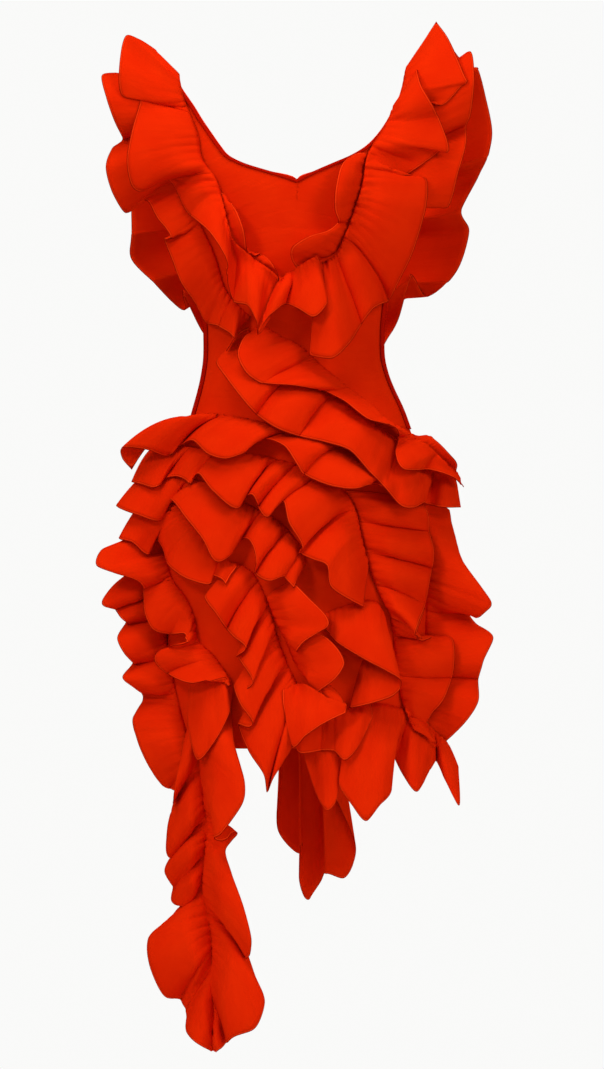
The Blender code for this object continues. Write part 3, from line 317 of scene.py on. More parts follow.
# The solid that a piece stands for
def nodeOf(name):
    return "".join(letter if letter.islower() else "_" + letter.lower() for letter in name)


# Curves and the figure that the dress is cut for

def hermite(before, start, end, after, part, ease=1.0):
    leave = (end - before) * 0.5 * ease
    arrive = (after - start) * 0.5 * ease
    two, three = part**2, part**3
    return ((2 * three - 3 * two + 1) * start + (three - 2 * two + part) * leave
            + (3 * two - 2 * three) * end + (three - two) * arrive)


def curve(points, steps, ease=1.0):
    points = [np.array(point, float) for point in points]
    found = []
    for index in range(len(points) - 1):
        four = [points[min(max(index + k, 0), len(points) - 1)] for k in (-1, 0, 1, 2)]
        found += [hermite(*four, step / steps, ease) for step in range(steps)]
    return np.array(found + [points[-1]])


def between(table, at):
    rows = sorted(table)
    keys = [row[0] for row in rows]
    after = min(max(int(np.searchsorted(keys, at)), 1), len(rows) - 1)
    part = min(max((at - keys[after - 1]) / (keys[after] - keys[after - 1]), 0.0), 1.0)
    four = [rows[min(max(after + k, 0), len(rows) - 1)][1:] for k in (-2, -1, 0, 1)]
    return hermite(*[np.array(row, float) for row in four], part)


# The figure's section at every mm of height
lowest, highest = bodySections[-1][0], bodySections[0][0]
sectionTable = np.array([between(bodySections, height) for height in range(lowest, highest + 1)])


def section(height):
    place = np.clip(np.asarray(height, float) - lowest, 0, len(sectionTable) - 1.001)
    whole = place.astype(int)
    part = (place - whole)[..., None]
    found = sectionTable[whole] * (1 - part) + sectionTable[whole + 1] * part
    return found[..., 0], found[..., 1], found[..., 2]


def depthAt(across, height, clear):
    middle, halfWidth, halfDepth = section(height)
    ratio = (np.asarray(across) - middle) / (halfWidth + clear)
    return (halfDepth + clear) * np.sqrt(np.maximum(0.0, 1.0 - ratio * ratio))


def atAngle(angle, height, clear):
    middle, halfWidth, halfDepth = section(height)
    across = middle + (halfWidth + clear) * math.sin(angle)
    return np.array([across, -(halfDepth + clear) * math.cos(angle), height])


sideAngle = math.radians(88.5)   # the bodice ends just short of the figure's side


def onFront(across, height, clear):
    middle, halfWidth, _ = section(height)
    angle = math.asin(min(max((across - middle) / halfWidth, -1.0), 1.0))
    return atAngle(min(max(angle, -sideAngle), sideAngle), height, clear)


# Strips

field = {"left": -300.0, "lowest": -1320.0, "width": 600.0, "height": 1440.0, "nothing": -1000.0,
         "samples": 5}


# How far forward the cloth laid so far reaches, cell by cell, as its viewer sees it.
class Layers:
    def __init__(self):
        self.cell = fine["cell"]
        size = (int(field["width"] / self.cell), int(field["height"] / self.cell))
        self.reach = np.full(size, field["nothing"])

    def cells(self, points):
        columns = ((points[..., 0] - field["left"]) / self.cell).astype(int)
        rows = ((points[..., 2] - field["lowest"]) / self.cell).astype(int)
        return np.clip(columns, 0, self.reach.shape[0] - 1), np.clip(rows, 0, self.reach.shape[1] - 1)

    def clear(self, grid, facing):
        # Moves the grid forward, evenly, until it clears the cloth below it.
        wide = self.reach.copy()
        for axis in (0, 1):
            for shift in (-1, 1):
                wide = np.maximum(wide, np.roll(wide, shift, axis))
        need = np.maximum(wide[self.cells(grid)] + fine["layerGap"] - grid[..., 1] * facing, 0.0)
        push = need.copy()
        for _ in range(fine["easeRounds"]):
            padded = np.pad(push, 1, mode="edge")
            mean = (padded[:-2, 1:-1] + padded[2:, 1:-1] + padded[1:-1, :-2] + padded[1:-1, 2:]) / 4
            push = np.maximum(need, mean)
        grid[..., 1] += push * facing

    def add(self, grid, facing):
        for part in np.linspace(0.0, 1.0, field["samples"]):
            along = grid[:-1] * (1 - part) + grid[1:] * part
            for share in np.linspace(0.0, 1.0, field["samples"]):
                points = along[:, :-1] * (1 - share) + along[:, 1:] * share
                np.maximum.at(self.reach, self.cells(points), points[..., 1] * facing)


def alongFolds(values):
    return curve(values, fine["stepsPerFold"], fine["crispness"])


def freeEdge(folds, facing):
    points = alongFolds([fold[1:] for fold in folds])
    lifts = points[:, 2] + fine["deeper"] * (points[:, 2] - fine["evenLift"])
    forward = np.maximum(depthAt(points[:, 0], points[:, 1], 0.0) + lifts, cut["leastForward"])
    return np.stack([points[:, 0], facing * forward, points[:, 1]], axis=1)


def seamPoints(seam, folds, rest, facing):
    line = curve(seam, fine["stepsPerFold"])
    lengths = np.concatenate([[0.0], np.cumsum(np.linalg.norm(np.diff(line, axis=0), axis=1))])
    shares = alongFolds([fold[0] / 100 for fold in folds]) * lengths[-1]
    across = np.interp(shares, lengths, line[:, 0])
    height = np.interp(shares, lengths, line[:, 1])
    forward = np.maximum(depthAt(across, height, rest), cut["leastForward"])
    return np.stack([across, facing * forward, height], axis=1)


def standOff(grid, rest, facing):
    least = np.maximum(depthAt(grid[..., 0], grid[..., 2], rest), cut["leastForward"])
    grid[..., 1] = facing * np.maximum(facing * grid[..., 1], least)


def hang(start, folds, rest, facing, mostRise):
    end = freeEdge(folds, facing)
    lifts = alongFolds([fold[3] for fold in folds])
    shares = np.linspace(0.0, 1.0, fine["stepsAcross"] + 1)
    grid = start[:, None] * (1 - shares)[None, :, None] + end[:, None] * shares[None, :, None]
    hump = 4 * shares * (1 - shares)
    swell = np.clip((lifts - cut["noSwellLift"]) / (cut["fullSwellLift"] - cut["noSwellLift"]), -1, 1)
    swell *= cut["swell"] * np.abs(end[:, 1] - start[:, 1])
    drop = np.maximum(start[:, 2] - end[:, 2], 0.0)
    rise = np.minimum(cut["rise"] * np.abs(end[:, 0] - start[:, 0]), mostRise * drop)
    grid[..., 1] += facing * swell[:, None] * hump[None, :]
    grid[..., 2] += rise[:, None] * hump[None, :]
    standOff(grid, rest, facing)
    return grid


seat = {"from": 600.0, "least": -2.0, "most": 30.0, "evenOver": 9, "atSeam": 0.35}


def restOnSolid(grid, node, facing):
    # Brings the strip as far forward as its solid lies over the cloth below, evenly along the strip.
    shape = bmesh.new()
    shape.from_mesh(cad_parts[node].data)
    tree = BVHTree.FromBMesh(shape)
    shape.free()
    step = fine["stepsPerFold"] // 2
    sample = grid[::step, ::4]
    push = np.full(sample.shape[:2], np.nan)
    for index in np.ndindex(push.shape):
        x, y, z = sample[index]
        start = Vector((x * mm, facing * seat["from"] * mm, z * mm))
        hit = tree.ray_cast(start, Vector((0.0, -facing, 0.0)))[0]
        if hit is not None:
            push[index] = facing * (hit.y / mm - y) - cut["wall"] / 2
    rows = np.array([np.median(row[~np.isnan(row)]) if (~np.isnan(row)).any() else np.nan for row in push])
    known = np.flatnonzero(~np.isnan(rows))
    rows = np.clip(np.interp(np.arange(len(rows)), known, rows[known]), seat["least"], seat["most"])
    padded = np.pad(rows, seat["evenOver"] // 2, mode="edge")
    rows = np.convolve(padded, np.ones(seat["evenOver"]) / seat["evenOver"], mode="valid")
    whole = np.interp(np.arange(len(grid)), np.arange(len(rows)) * step, rows)
    grid[..., 1] += facing * whole[:, None] * np.linspace(seat["atSeam"], 1.0, grid.shape[1])[None, :]


# Detail of the cloth

def unit(vectors):
    return vectors / np.maximum(np.linalg.norm(vectors, axis=-1, keepdims=True), 1e-9)


def lengthsAlong(grid, axis):
    steps = np.linalg.norm(np.diff(grid, axis=axis), axis=-1)
    return np.concatenate([np.zeros_like(steps.take([0], axis)), np.cumsum(steps, axis=axis)], axis=axis)


def softNoise(values, seed, octaves=((1.0, 1.0), (2.3, 0.5))):
    # Smooth seeded waves that never repeat over a strip.
    random = np.random.default_rng(seed)
    total = np.zeros_like(values)
    for pace, weight in octaves:
        for _ in range(4):
            stretch, shift = random.uniform(0.6, 1.5), random.uniform(0, 2 * math.pi)
            total += weight * np.sin(values * pace * stretch + shift)
    return total / 4


# How far down the strip a tube has grown to its full height and overhang: share of the strip's width.
swing = {"highBy": 0.35, "overBy": 0.5, "curve": 0.8}


def fluted(grid, folds, facing, tube):
    # Rolls the cloth between two hollows of the free edge into a tube that leans down the strip and hangs a
    # little over the next hollow. The seam is in the first column.
    lifts = [fold[3] for fold in folds]
    hollows = [place for place in range(1, len(lifts) - 1)
               if lifts[place] <= min(lifts[place - 1], lifts[place + 1])]
    ends = [place * fine["stepsPerFold"] for place in [0] + hollows + [len(lifts) - 1]]
    lift = alongFolds(lifts)
    length = lengthsAlong(grid, 0)[:, grid.shape[1] // 2]
    raised = np.zeros(len(grid))
    shifted = np.zeros(len(grid))
    for first, last in zip(ends, ends[1:]):
        span = slice(first, last + 1)
        part = (length[span] - length[first]) / (length[last] - length[first])
        size = min(1.0, (length[last] - length[first]) / tube["fullSpan"])
        raised[span] = size * np.clip(np.sin(math.pi * part ** tube["lean"]), 0.0, 1.0) ** tube["roundness"]
        if last < len(grid) - 1:
            over = min(tube["over"] * (length[last] - length[first]), tube["mostOver"])
            shifted[span] = over * np.sin(math.pi * part ** 3)
    raised *= np.clip(lift / tube["fullLift"], 0.0, 1.0)
    share = np.linspace(0.0, 1.0, grid.shape[1])
    ahead = np.gradient(grid, axis=0)
    ahead[..., 1] = 0.0
    for _ in range(fine["easeRounds"]):
        ahead[1:-1] = (ahead[:-2] + ahead[2:] + ahead[1:-1]) / 3
    grid += unit(ahead) * shifted[:, None, None] * np.clip(share / swing["overBy"], 0.0, 1.0)[None, :, None]
    grown = np.clip(share / swing["highBy"], 0.0, 1.0) ** swing["curve"]
    grid[..., 1] += facing * tube["height"] * raised[:, None] * grown[None, :]


# Gathers: pitch is the distance between them, and uneven how much they differ along the strip. The drag
# lines are the soft folds that they run out into.
gather = {
    "pitch": 10.0, "height": 3.4, "evenHeight": 0.8, "round": 0.7, "reach": 24.0, "leastReach": 6.0,
    "startsBy": 4.0, "atSeam": 0.2, "uneven": 0.5, "heightOver": 23.0, "reachOver": 17.0,
    "wander": 1.8, "wanderOver": 30.0,
}
drag = {"pitch": 27.0, "height": 1.6, "round": 0.8, "startsBy": 14.0, "reach": 80.0, "wander": 2.2,
        "wanderOver": 40.0}


def ridges(place, look, seed):
    wander = look["wander"] * softNoise(place / look["wanderOver"], seed)
    return np.abs(np.sin(math.pi * place / look["pitch"] + wander)) ** look["round"]


def outwardOf(grid, facing):
    outward = unit(np.cross(np.gradient(grid, axis=0), np.gradient(grid, axis=1)))
    return outward * np.where(outward[..., 1:2] * facing < 0, -1.0, 1.0)


def gathered(grid, seamColumn, facing, seed):
    # All outwards, so that the cloth clears what is behind it.
    across = lengthsAlong(grid, 1)
    away = np.abs(across - across[:, seamColumn:seamColumn + 1])
    place = lengthsAlong(grid, 0)[:, seamColumn]
    pucker = ridges(place, gather, seed)
    reach = gather["reach"] * (1.0 + gather["uneven"] * softNoise(place / gather["reachOver"], seed + 1))
    uneven = gather["uneven"] * softNoise(place / gather["heightOver"], seed + 2)
    height = gather["height"] * (gather["evenHeight"] + uneven)
    near = np.exp(-away / np.maximum(reach[:, None], gather["leastReach"]))
    near *= np.clip(away / gather["startsBy"], gather["atSeam"], 1.0)
    pull = ridges(place, drag, seed + 3) * drag["height"]
    hump = np.clip(away / drag["startsBy"], 0.0, 1.0) * np.exp(-away / drag["reach"])
    moved = (pucker * height)[:, None] * near + pull[:, None] * hump
    return grid + outwardOf(grid, facing) * moved[..., None]


def clothObject(name, grids, hems, material):
    # Each grid starts from a flat one of bmesh, and hems says which of its edges are free.
    shape = bmesh.new()
    hemLayer = shape.verts.layers.float.new("hemDistance")
    placeLayer = shape.verts.layers.float_vector.new("clothPlace")
    area = 0.0
    for grid, hem in zip(grids, hems):
        rows, columns = grid.shape[:2]
        made = bmesh.ops.create_grid(shape, x_segments=columns - 1, y_segments=rows - 1, size=1.0)["verts"]
        along, across = lengthsAlong(grid, 0), lengthsAlong(grid, 1)
        width = across[:, -1:]
        far = along[-1:, :]
        distances = {"first": across, "last": width - across, "start": along, "end": far - along}
        anywhere = np.full(grid.shape[:2], fine["farFromHem"])
        toHem = np.min([distances[side] for side in hem] + [anywhere], axis=0).ravel()
        place = np.stack([along.mean(axis=1, keepdims=True) + 0 * across, across, 0 * across], axis=-1)
        for vertex, point, distance, at in zip(made, grid.reshape(-1, 3), toHem, place.reshape(-1, 3)):
            vertex.co = point * mm
            vertex[hemLayer] = distance
            vertex[placeLayer] = at
        quads = np.cross(grid[1:, 1:] - grid[:-1, :-1], grid[1:, :-1] - grid[:-1, 1:])
        area += 0.5 * np.linalg.norm(quads, axis=-1).sum() * mm * mm
    if len(grids) > 1:
        bmesh.ops.remove_doubles(shape, verts=shape.verts, dist=fine["weld"] * mm)
        bmesh.ops.recalc_face_normals(shape, faces=shape.faces)
    mesh = bpy.data.meshes.new(name)
    shape.to_mesh(mesh)
    shape.free()
    mesh.shade_smooth()
    mesh.materials.append(material)
    piece = addObject(name, mesh)
    wall = piece.modifiers.new("cloth", "SOLIDIFY")
    wall.thickness = fine["shell"] * mm
    wall.offset = 0.0
    return piece, area


def finishPiece(piece, flat):
    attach(piece, "root")
    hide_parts(nodeOf(piece.name))


# Colours and materials

def linear(colour):
    values = [int(colour[k:k + 2], 16) / 255 for k in (1, 3, 5)]
    return tuple(v / 12.92 if v <= 0.04045 else ((v + 0.055) / 1.055) ** 2.4 for v in values) + (1.0,)


def addNode(owner, kind, inputs=None, **settings):
    node = owner.node_tree.nodes.new("ShaderNode" + kind)
    for name, value in settings.items():
        setattr(node, name, value)
    for name, value in (inputs or {}).items():
        if isinstance(value, bpy.types.NodeSocket):
            owner.node_tree.links.new(value, node.inputs[name])
        else:
            node.inputs[name].default_value = value
    return node


def blend(owner, share, first, second):
    return addNode(owner, "Mix", {0: share, 6: first, 7: second}, data_type="RGBA").outputs[2]


def ramp(owner, share, stops):
    node = addNode(owner, "ValToRGB", {"Fac": share})
    while len(node.color_ramp.elements) < len(stops):
        node.color_ramp.elements.new(0.5)
    for element, (at, colour) in zip(node.color_ramp.elements, stops):
        element.position = at
        element.color = colour if isinstance(colour, tuple) else (colour, colour, colour, 1.0)
    return node.outputs[0]


def noise(owner, place, size, detail, **more):
    inputs = {"Vector": place, "Scale": 1 / size, "Detail": detail, **more}
    return addNode(owner, "TexNoise", inputs).outputs["Fac"]


def join(node, name, value):
    node.id_data.links.new(value, node.inputs[name])


def bump(owner, height, relief, under=None, **settings):
    inputs = {"Height": height, "Strength": relief[0], "Distance": relief[1] * mm}
    if under:
        inputs["Normal"] = under
    return addNode(owner, "Bump", inputs, **settings).outputs[0]


# What both materials share: the dyed ground with its grain. Sizes are in mm along the cloth.
def newCloth(name, look):
    cloth = bpy.data.materials.new(name)
    cloth.use_nodes = True
    shader = cloth.node_tree.nodes["Principled BSDF"]
    shader.inputs["IOR"].default_value = 1.45
    shader.inputs["Specular IOR Level"].default_value = 0.0
    place = addNode(cloth, "Attribute", attribute_name="clothPlace").outputs["Vector"]
    toHem = addNode(cloth, "Attribute", attribute_name="hemDistance").outputs["Fac"]
    toHem = addNode(cloth, "MapRange", {"Value": toHem, "From Max": look["hemReach"]}).outputs[0]
    patches = noise(cloth, place, look["dyePatch"], look["dyeDetail"])
    dye = blend(cloth, patches, linear(look["dyeLow"]), linear(look["dyeHigh"]))
    grain = noise(cloth, place, look["grain"], 2.0)
    relief = bump(cloth, grain, look["grainBump"])
    return cloth, shader, place, toHem, dye, grain, relief


crepe = {
    "dyeLow": "#D61E02", "dyeHigh": "#E82C04", "dyePatch": 45.0, "dyeDetail": 3.0,
    # The hem's light colour is a painted highlight on the rolled hem. Its dark colour is painted shadow at
    # the hem's very edge and the dark row of stitches.
    "hemHighlight": "#F23C12", "hemShadowAndStitches": "#9A0A00", "hemReach": 8.0,
    # (share of hemReach from the hem, how much of the line shows there)
    "hemHighlightLine": [(0.0, 0.0), (0.08, 0.1), (0.14, 0.7), (0.24, 0.7), (0.32, 0.0)],
    "hemShadowAndStitchLines": [(0.0, 0.9), (0.06, 0.7), (0.12, 0.0), (0.32, 0.0), (0.38, 0.45), (0.46, 0.0)],
    "hemBump": (0.5, 0.6),
    "grain": 1.6,       # crepe yarn is about 0.3 mm, drawn coarser so that it shows
    "grainBump": (0.35, 0.4),   # strength and depth of the relief
    "crease": 13.0,     # between the fine creases that run down a ruffle
    "creaseLength": 0.16, "creaseBend": 0.6, "creaseBump": (0.35, 3.0),
    "roughness": 0.78, "smoother": 0.06, "rougher": 0.08,
}


# Polyester crepe, piece-dyed red-orange: matt and finely pebbled, so that light spreads on it without a
# gleam. The rolled hem has a thin painted highlight line, a thin painted shadow at its very edge and a dark
# row of stitches behind it.
def crepeMaterial(name, look):
    cloth, shader, place, toHem, dye, grain, relief = newCloth(name, look)
    # Painted highlight along the rolled hem.
    light = ramp(cloth, toHem, look["hemHighlightLine"])
    # Painted shadow at the hem's very edge, and the dark row of stitches behind the hem.
    hemShadowAndStitchMask = ramp(cloth, toHem, look["hemShadowAndStitchLines"])
    withHemHighlight = blend(cloth, light, dye, linear(look["hemHighlight"]))
    hemShadedAndStitched = blend(cloth, hemShadowAndStitchMask, withHemHighlight, linear(look["hemShadowAndStitches"]))
    join(shader, "Base Color", hemShadedAndStitched)
    drawn = addNode(cloth, "Mapping", {"Vector": place, "Scale": (1.0, look["creaseLength"], 1.0)})
    crease = noise(cloth, drawn.outputs[0], look["crease"], 2.0, Distortion=look["creaseBend"])
    relief = bump(cloth, crease, look["creaseBump"], relief)
    relief = bump(cloth, light, look["hemBump"], relief)
    join(shader, "Normal", relief)
    rough = addNode(cloth, "MapRange", {"Value": grain, "To Min": look["roughness"] - look["smoother"],
                                        "To Max": look["roughness"] + look["rougher"]})
    join(shader, "Roughness", rough.outputs[0])
    return cloth


binding = {
    "dyeLow": "#A80C00", "dyeHigh": "#C41402", "dyePatch": 30.0, "dyeDetail": 2.0, "thread": "#7E0600",
    "grain": 1.2, "grainBump": (0.3, 0.3),
    "hemReach": 6.0, "rows": (1.4, 3.8),   # from the edge to each line of stitching
    "rowWidth": 0.08, "firstRow": 0.06,    # each side of a line, share of hemReach
    "atEdge": 0.3, "stitch": 2.6, "stitchWave": 0.32, "rowBump": (0.6, 0.6),
    "roughness": 0.7,
}


# Bias binding of the same crepe, folded over the raw edge: a little smoother where it is stretched, with
# two rows of machine stitches pressed into it.
def bindingMaterial(name, look):
    cloth, shader, place, toEdge, dye, _, relief = newCloth(name, look)
    first, second = [distance / look["hemReach"] for distance in look["rows"]]
    side = look["rowWidth"]
    rows = ramp(cloth, toEdge, [
        (0.0, look["atEdge"]), (first - look["firstRow"], 0.0), (first, 1.0), (first + side, 0.0),
        (second - side, 0.0), (second, 1.0), (second + side, 0.0)])
    drawn = addNode(cloth, "Mapping", {"Vector": place, "Scale": (1 / look["stitch"], 0.0, 0.0)})
    dash = addNode(cloth, "TexWave", {"Vector": drawn.outputs[0], "Scale": look["stitchWave"]})
    sewn = addNode(cloth, "Math", {0: rows, 1: dash.outputs["Fac"]}, operation="MULTIPLY").outputs[0]
    join(shader, "Base Color", blend(cloth, sewn, dye, linear(look["thread"])))
    relief = bump(cloth, rows, look["rowBump"], relief, invert=True)
    join(shader, "Normal", relief)
    shader.inputs["Roughness"].default_value = look["roughness"]
    return cloth


redCrepe = crepeMaterial("redCrepe", crepe)
boundEdge = bindingMaterial("boundEdge", binding)

# Bodice, bindings, skirt and straps

def bodiceEdges(side):
    inner = [np.array([row[side], row[2]], float) for row in bodiceRows]
    outer = [np.array([row[3 + side], row[5]], float) for row in bodiceRows]
    for point in outer:
        middle, halfWidth, _ = section(point[1])
        limit = halfWidth * math.sin(sideAngle)
        point[0] = min(max(point[0], middle - limit), middle + limit)
    return inner, outer


def panelSize(grids):
    widths = sum(lengthsAlong(grid, 1)[:, -1].max() for grid in grids)
    heights = max(lengthsAlong(grid, 0)[-1].max() for grid in grids)
    return widths * mm, heights * mm


bodice = {"columns": 40, "rowSteps": 5}
halves = []
for side in (0, 1):
    inner, outer = [curve(edge, bodice["rowSteps"]) for edge in bodiceEdges(side)]
    shares = np.linspace(0, 1, bodice["columns"] + 1)
    halves.append(np.array([[onFront(*(a * (1 - share) + b * share), 0.0) for share in shares]
                            for a, b in zip(inner, outer)]))
piece, area = clothObject("frontBodice", halves, [(), ()], redCrepe)
finishPiece(piece, panelSize(halves))

tape = {"steps": 8, "columns": 6, "crown": 0.5, "neckRow": 10, "leastWidth": 0.01}
tapeClear = (cut["wall"] + cut["bindingWall"]) / 2 + cut["seamGap"]
neck = []


def bindingGrid(edge, towards):
    rows = []
    for start, end in zip(edge, towards):
        share = cut["bindingWidth"] / np.linalg.norm(end - start)
        rows.append([onFront(*(start * (1 - share * part) + end * share * part),
                             tapeClear + tape["crown"] * 4 * part * (1 - part))
                     for part in np.linspace(0, 1, tape["columns"] + 1)])
    return np.array(rows)


def tapePiece(name, grids):
    piece, area = clothObject(name, grids, [("first", "last")] * len(grids), boundEdge)
    length = sum(lengthsAlong(grid, 0)[-1].max() for grid in grids) * mm
    width = max(tape["leastWidth"], area / length)
    finishPiece(piece, (length, width))


for side, name in ((0, "leftSideBinding"), (1, "rightSideBinding")):
    inner, outer = bodiceEdges(side)
    edge, towards = curve(outer, tape["steps"]), curve(inner, tape["steps"])
    tapePiece(name, [bindingGrid(edge, towards)])
    below = inner[tape["neckRow"]] - np.array([0.0, cut["bindingWidth"]])
    edge = curve(inner[tape["neckRow"]:], tape["steps"])
    towards = curve([below] + outer[tape["neckRow"] + 1:], tape["steps"])
    neck.append(bindingGrid(edge, towards))
tapePiece("neckBinding", neck)

skirt = {"rows": 60, "columns": 110, "side": 89.95, "tuck": 3.0, "tuckDepth": 1.3,
         "pullHeight": 1.2, "pullPitch": 30.0, "evenPull": 0.4, "mostPull": 1.4, "still": 4, "easeOver": 6.0}


def pulled(grid, seed, facing):
    # Soft pulls and dimples over the close panel, outwards. The first rows stay in their seam.
    height, across = grid[..., 2] / skirt["pullPitch"], grid[..., 0] / skirt["pullPitch"]
    waves = softNoise(height + 0.35 * across, seed) * softNoise(across * 0.8 - 0.2 * height, seed + 5)
    fade = np.clip((np.arange(len(grid)) - skirt["still"]) / skirt["easeOver"], 0.0, 1.0)[:, None]
    moved = np.clip(skirt["evenPull"] + waves, 0.0, skirt["mostPull"]) * skirt["pullHeight"] * fade
    return grid + outwardOf(grid, facing) * moved[..., None]


for name, facing in (("skirtFront", -1), ("skirtBack", 1)):
    side = math.radians(skirt["side"])
    heights = np.linspace(cut["waistSeam"] - cut["wall"] / 2, cut["skirtHem"], skirt["rows"] + 1)
    heights = np.concatenate([[heights[0] + skirt["tuck"]], heights])
    angles = np.linspace(-side, side, skirt["columns"] + 1)
    grid = np.array([[atAngle(angle, height, 0.0) for angle in angles] for height in heights])
    grid[0] = [atAngle(angle, heights[0], -skirt["tuckDepth"]) for angle in angles]
    grid = pulled(grid * np.array([1.0, -facing, 1.0]), 900 + facing, facing)
    piece, area = clothObject(name, [grid], [("end",)], redCrepe)
    finishPiece(piece, panelSize([grid]))

strap = {"steps": 10, "columns": 9}
for name, hand in (("leftShoulderStrap", -1), ("rightShoulderStrap", 1)):
    rows = []
    for inner, outer, height, side in curve(strapRows, strap["steps"]):
        across = hand * np.linspace(inner, outer, strap["columns"])
        rows.append(np.stack([across, side * depthAt(across, height, 0.0), 0 * across + height], axis=1))
    grid = np.array(rows)
    piece, area = clothObject(name, [grid], [("first", "last")], redCrepe)
    finishPiece(piece, panelSize([grid]))
print("bodice, bindings, skirt and straps made")

# Ruffles

stripCount = 0
leastFilled = 0.31   # of a strip's flat rectangle, by its cloth
# How far the tubes of a ruffle stand out, how long a tube and how lifted its fold is before it is that high,
# how far its crest leans down the strip, and how far it hangs over there, as a share of its length.
plainTube = {"height": 11.0, "fullSpan": 22.0, "lean": 1.2, "roundness": 0.6, "fullLift": 16.0,
             "over": 0.2, "mostOver": 10.0}
hipTube = {"height": 17.0, "fullSpan": 22.0, "lean": 1.3, "roundness": 0.8, "fullLift": 12.0,
           "over": 0.2, "mostOver": 9.0}
tailTube = {"height": 26.0, "fullSpan": 34.0, "lean": 1.6, "roundness": 0.8, "fullLift": 12.0,
            "over": 0.3, "mostOver": 15.0}
# Cloth that stands out farther than this is pressed back evenly, so that the dress keeps its depth.
press = {-1: {"beyond": 150.0, "share": 0.6}, 1: {"beyond": 135.0, "share": 0.78}}


def makeStrip(name, grid, folds, seamColumn, hems, facing, layers):
    global stripCount
    stripCount += 1
    restOnSolid(grid, nodeOf(name), facing)
    if seamColumn == 0:
        fluted(grid, folds, facing, hipTube if name in hipPieces else plainTube)
    grid = gathered(grid, seamColumn, facing, 100 * stripCount)
    layers.clear(grid, facing)
    layers.add(grid, facing)
    proud = np.maximum(facing * grid[..., 1] - press[facing]["beyond"], 0.0)
    grid[..., 1] -= facing * proud * (1.0 - press[facing]["share"])
    piece, area = clothObject(name, [grid], [hems], redCrepe)
    free = lengthsAlong(grid, 0)[-1, -1] * mm
    width = lengthsAlong(grid, 1)[:, -1].mean() * mm
    area = max(area, leastFilled * free * width)
    finishPiece(piece, (free, width))


front = Layers()


def makeTail():
    left = [row[:4] for row in tailFolds]
    right = [row[:1] + row[4:] for row in tailFolds]
    start = seamPoints(tailSeam, left, seamRest, -1)
    halves = [hang(start, folds, seamRest, -1, cut["mostRise"]) for folds in (left, right)]
    for half, folds in zip(halves, (left, right)):
        fluted(half, folds, -1, tailTube)
    grid = np.concatenate([halves[0][:, ::-1], halves[1][:, 1:]], axis=1)
    makeStrip("tailRuffle", grid, left, halves[0].shape[1] - 1, ("first", "last", "start"), -1, front)


for ruffle in frontRuffles:
    if ruffle["name"] == "tailLeaf":   # which lies on the tail
        makeTail()
    rest = highRest if ruffle["name"] in highPieces else seamRest
    start = seamPoints(ruffle["seam"], ruffle["folds"], rest, -1)
    mostRise = cut["puffedRise"] if ruffle["name"] in puffedPieces else cut["mostRise"]
    grid = hang(start, ruffle["folds"], rest, -1, mostRise)
    makeStrip(ruffle["name"], grid, ruffle["folds"], 0, ("last", "start", "end"), -1, front)
print("front ruffles made")

back = Layers()
tier = {"waves": 9, "side": 88.0, "crestDrop": 7.0, "hollowLift": 8.0, "seamPoints": 13}


def tierFolds(edgeHeight, crestLift):
    folds = []
    turns = 2 * tier["waves"]
    for step in range(turns + 1):
        crest = step % 2
        share = step / turns
        height = edgeHeight - (tier["crestDrop"] if crest else 0.0)
        angle = math.radians(tier["side"] * (2 * share - 1))
        across, forward, _ = atAngle(angle, height, crestLift if crest else tier["hollowLift"])
        folds.append((100 * share, across, height, -forward - float(depthAt(across, height, 0.0))))
    return folds


def tierSeam(seamHeight):
    angles = np.radians(np.linspace(-tier["side"], tier["side"], tier["seamPoints"]))
    return [tuple(atAngle(angle, seamHeight, seamRest)[[0, 2]]) for angle in angles]


backStrips = [(ruffle["name"], ruffle["seam"], ruffle["folds"], seamRest) for ruffle in backRuffles]
backStrips += [(name, tierSeam(seamHeight), tierFolds(edgeHeight, lift), backRest)
               for name, seamHeight, edgeHeight, lift in backTiers]
backStrips += [(ruffle["name"], ruffle["seam"], ruffle["folds"], highRest) for ruffle in backStrapRuffles]
for name, seam, folds, rest in backStrips:
    grid = hang(seamPoints(seam, folds, rest, 1), folds, rest, 1, cut["mostRise"])
    makeStrip(name, grid, folds, 0, ("last", "start", "end"), 1, back)
print("back ruffles made")

# Floor, light and finish

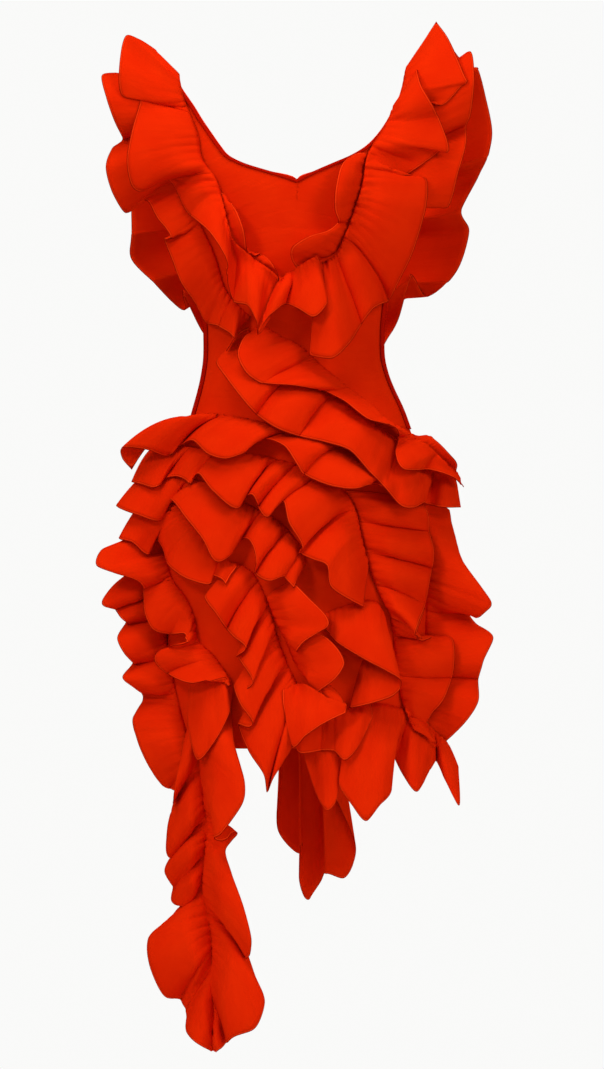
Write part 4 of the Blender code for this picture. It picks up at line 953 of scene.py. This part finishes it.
room = {"floor": "#E4E2DF", "roughness": 0.9, "halfSide": 1.5, "floorAt": -1.45}
floorMaterial = bpy.data.materials.new("paintedFloor")
floorMaterial.use_nodes = True
floorShader = floorMaterial.node_tree.nodes["Principled BSDF"]
floorShader.inputs["Base Color"].default_value = linear(room["floor"])
floorShader.inputs["Roughness"].default_value = room["roughness"]
floorShape = bmesh.new()
bmesh.ops.create_grid(floorShape, x_segments=1, y_segments=1, size=room["halfSide"])
floorMesh = bpy.data.meshes.new("floor")
bmesh.ops.translate(floorShape, verts=floorShape.verts, vec=(0.0, 0.0, room["floorAt"]))
floorShape.to_mesh(floorMesh)
floorShape.free()
floorMesh.materials.append(floorMaterial)
addObject("floor", floorMesh)

scene = bpy.context.scene
scene.view_settings.view_transform = "Standard"
world = scene.world or bpy.data.worlds.new("studio")
scene.world = world
world.use_nodes = True
# Bright near the horizon, where the viewer looks, and dimmer above and below, so that the folds keep shade.
studio = {"horizon": "#FDFDFC", "beyond": "#646468", "bandTop": 0.13, "bandEnd": 0.24, "strength": 0.97}
direction = addNode(world, "TexCoord").outputs["Generated"]
upward = addNode(world, "SeparateXYZ", {0: direction}).outputs["Z"]
steepness = addNode(world, "Math", {0: upward}, operation="ABSOLUTE").outputs[0]
band = ramp(world, steepness, [(studio["bandTop"], linear(studio["horizon"])),
                               (studio["bandEnd"], linear(studio["beyond"]))])
background = world.node_tree.nodes["Background"]
join(background, "Color", band)
background.inputs["Strength"].default_value = studio["strength"]

lights = [
    {"name": "softboxAbove", "at": (-0.6, -1.2, 2.6), "to": (0.0, 0.0, -0.6), "size": 2.2, "power": 63.0},
    {"name": "keyLight", "at": (-2.2, -3.4, 1.6), "to": (0.0, 0.0, -0.55), "size": 0.8, "power": 52.0},
    {"name": "fillLight", "at": (2.4, -3.4, 1.3), "to": (0.0, 0.0, -0.55), "size": 1.6, "power": 56.0},
    {"name": "backLight", "at": (1.6, 3.6, 2.0), "to": (0.0, 0.0, -0.55), "size": 1.4, "power": 90.0},
]
for look in lights:
    lamp = bpy.data.lights.new(look["name"], "AREA")
    lamp.size = look["size"]
    lamp.energy = look["power"]
    light = addObject(look["name"], lamp)
    light.location = look["at"]
    light.rotation_euler = (Vector(look["to"]) - Vector(look["at"])).to_track_quat("-Z", "Y").to_euler()
print("floor and lights placed")
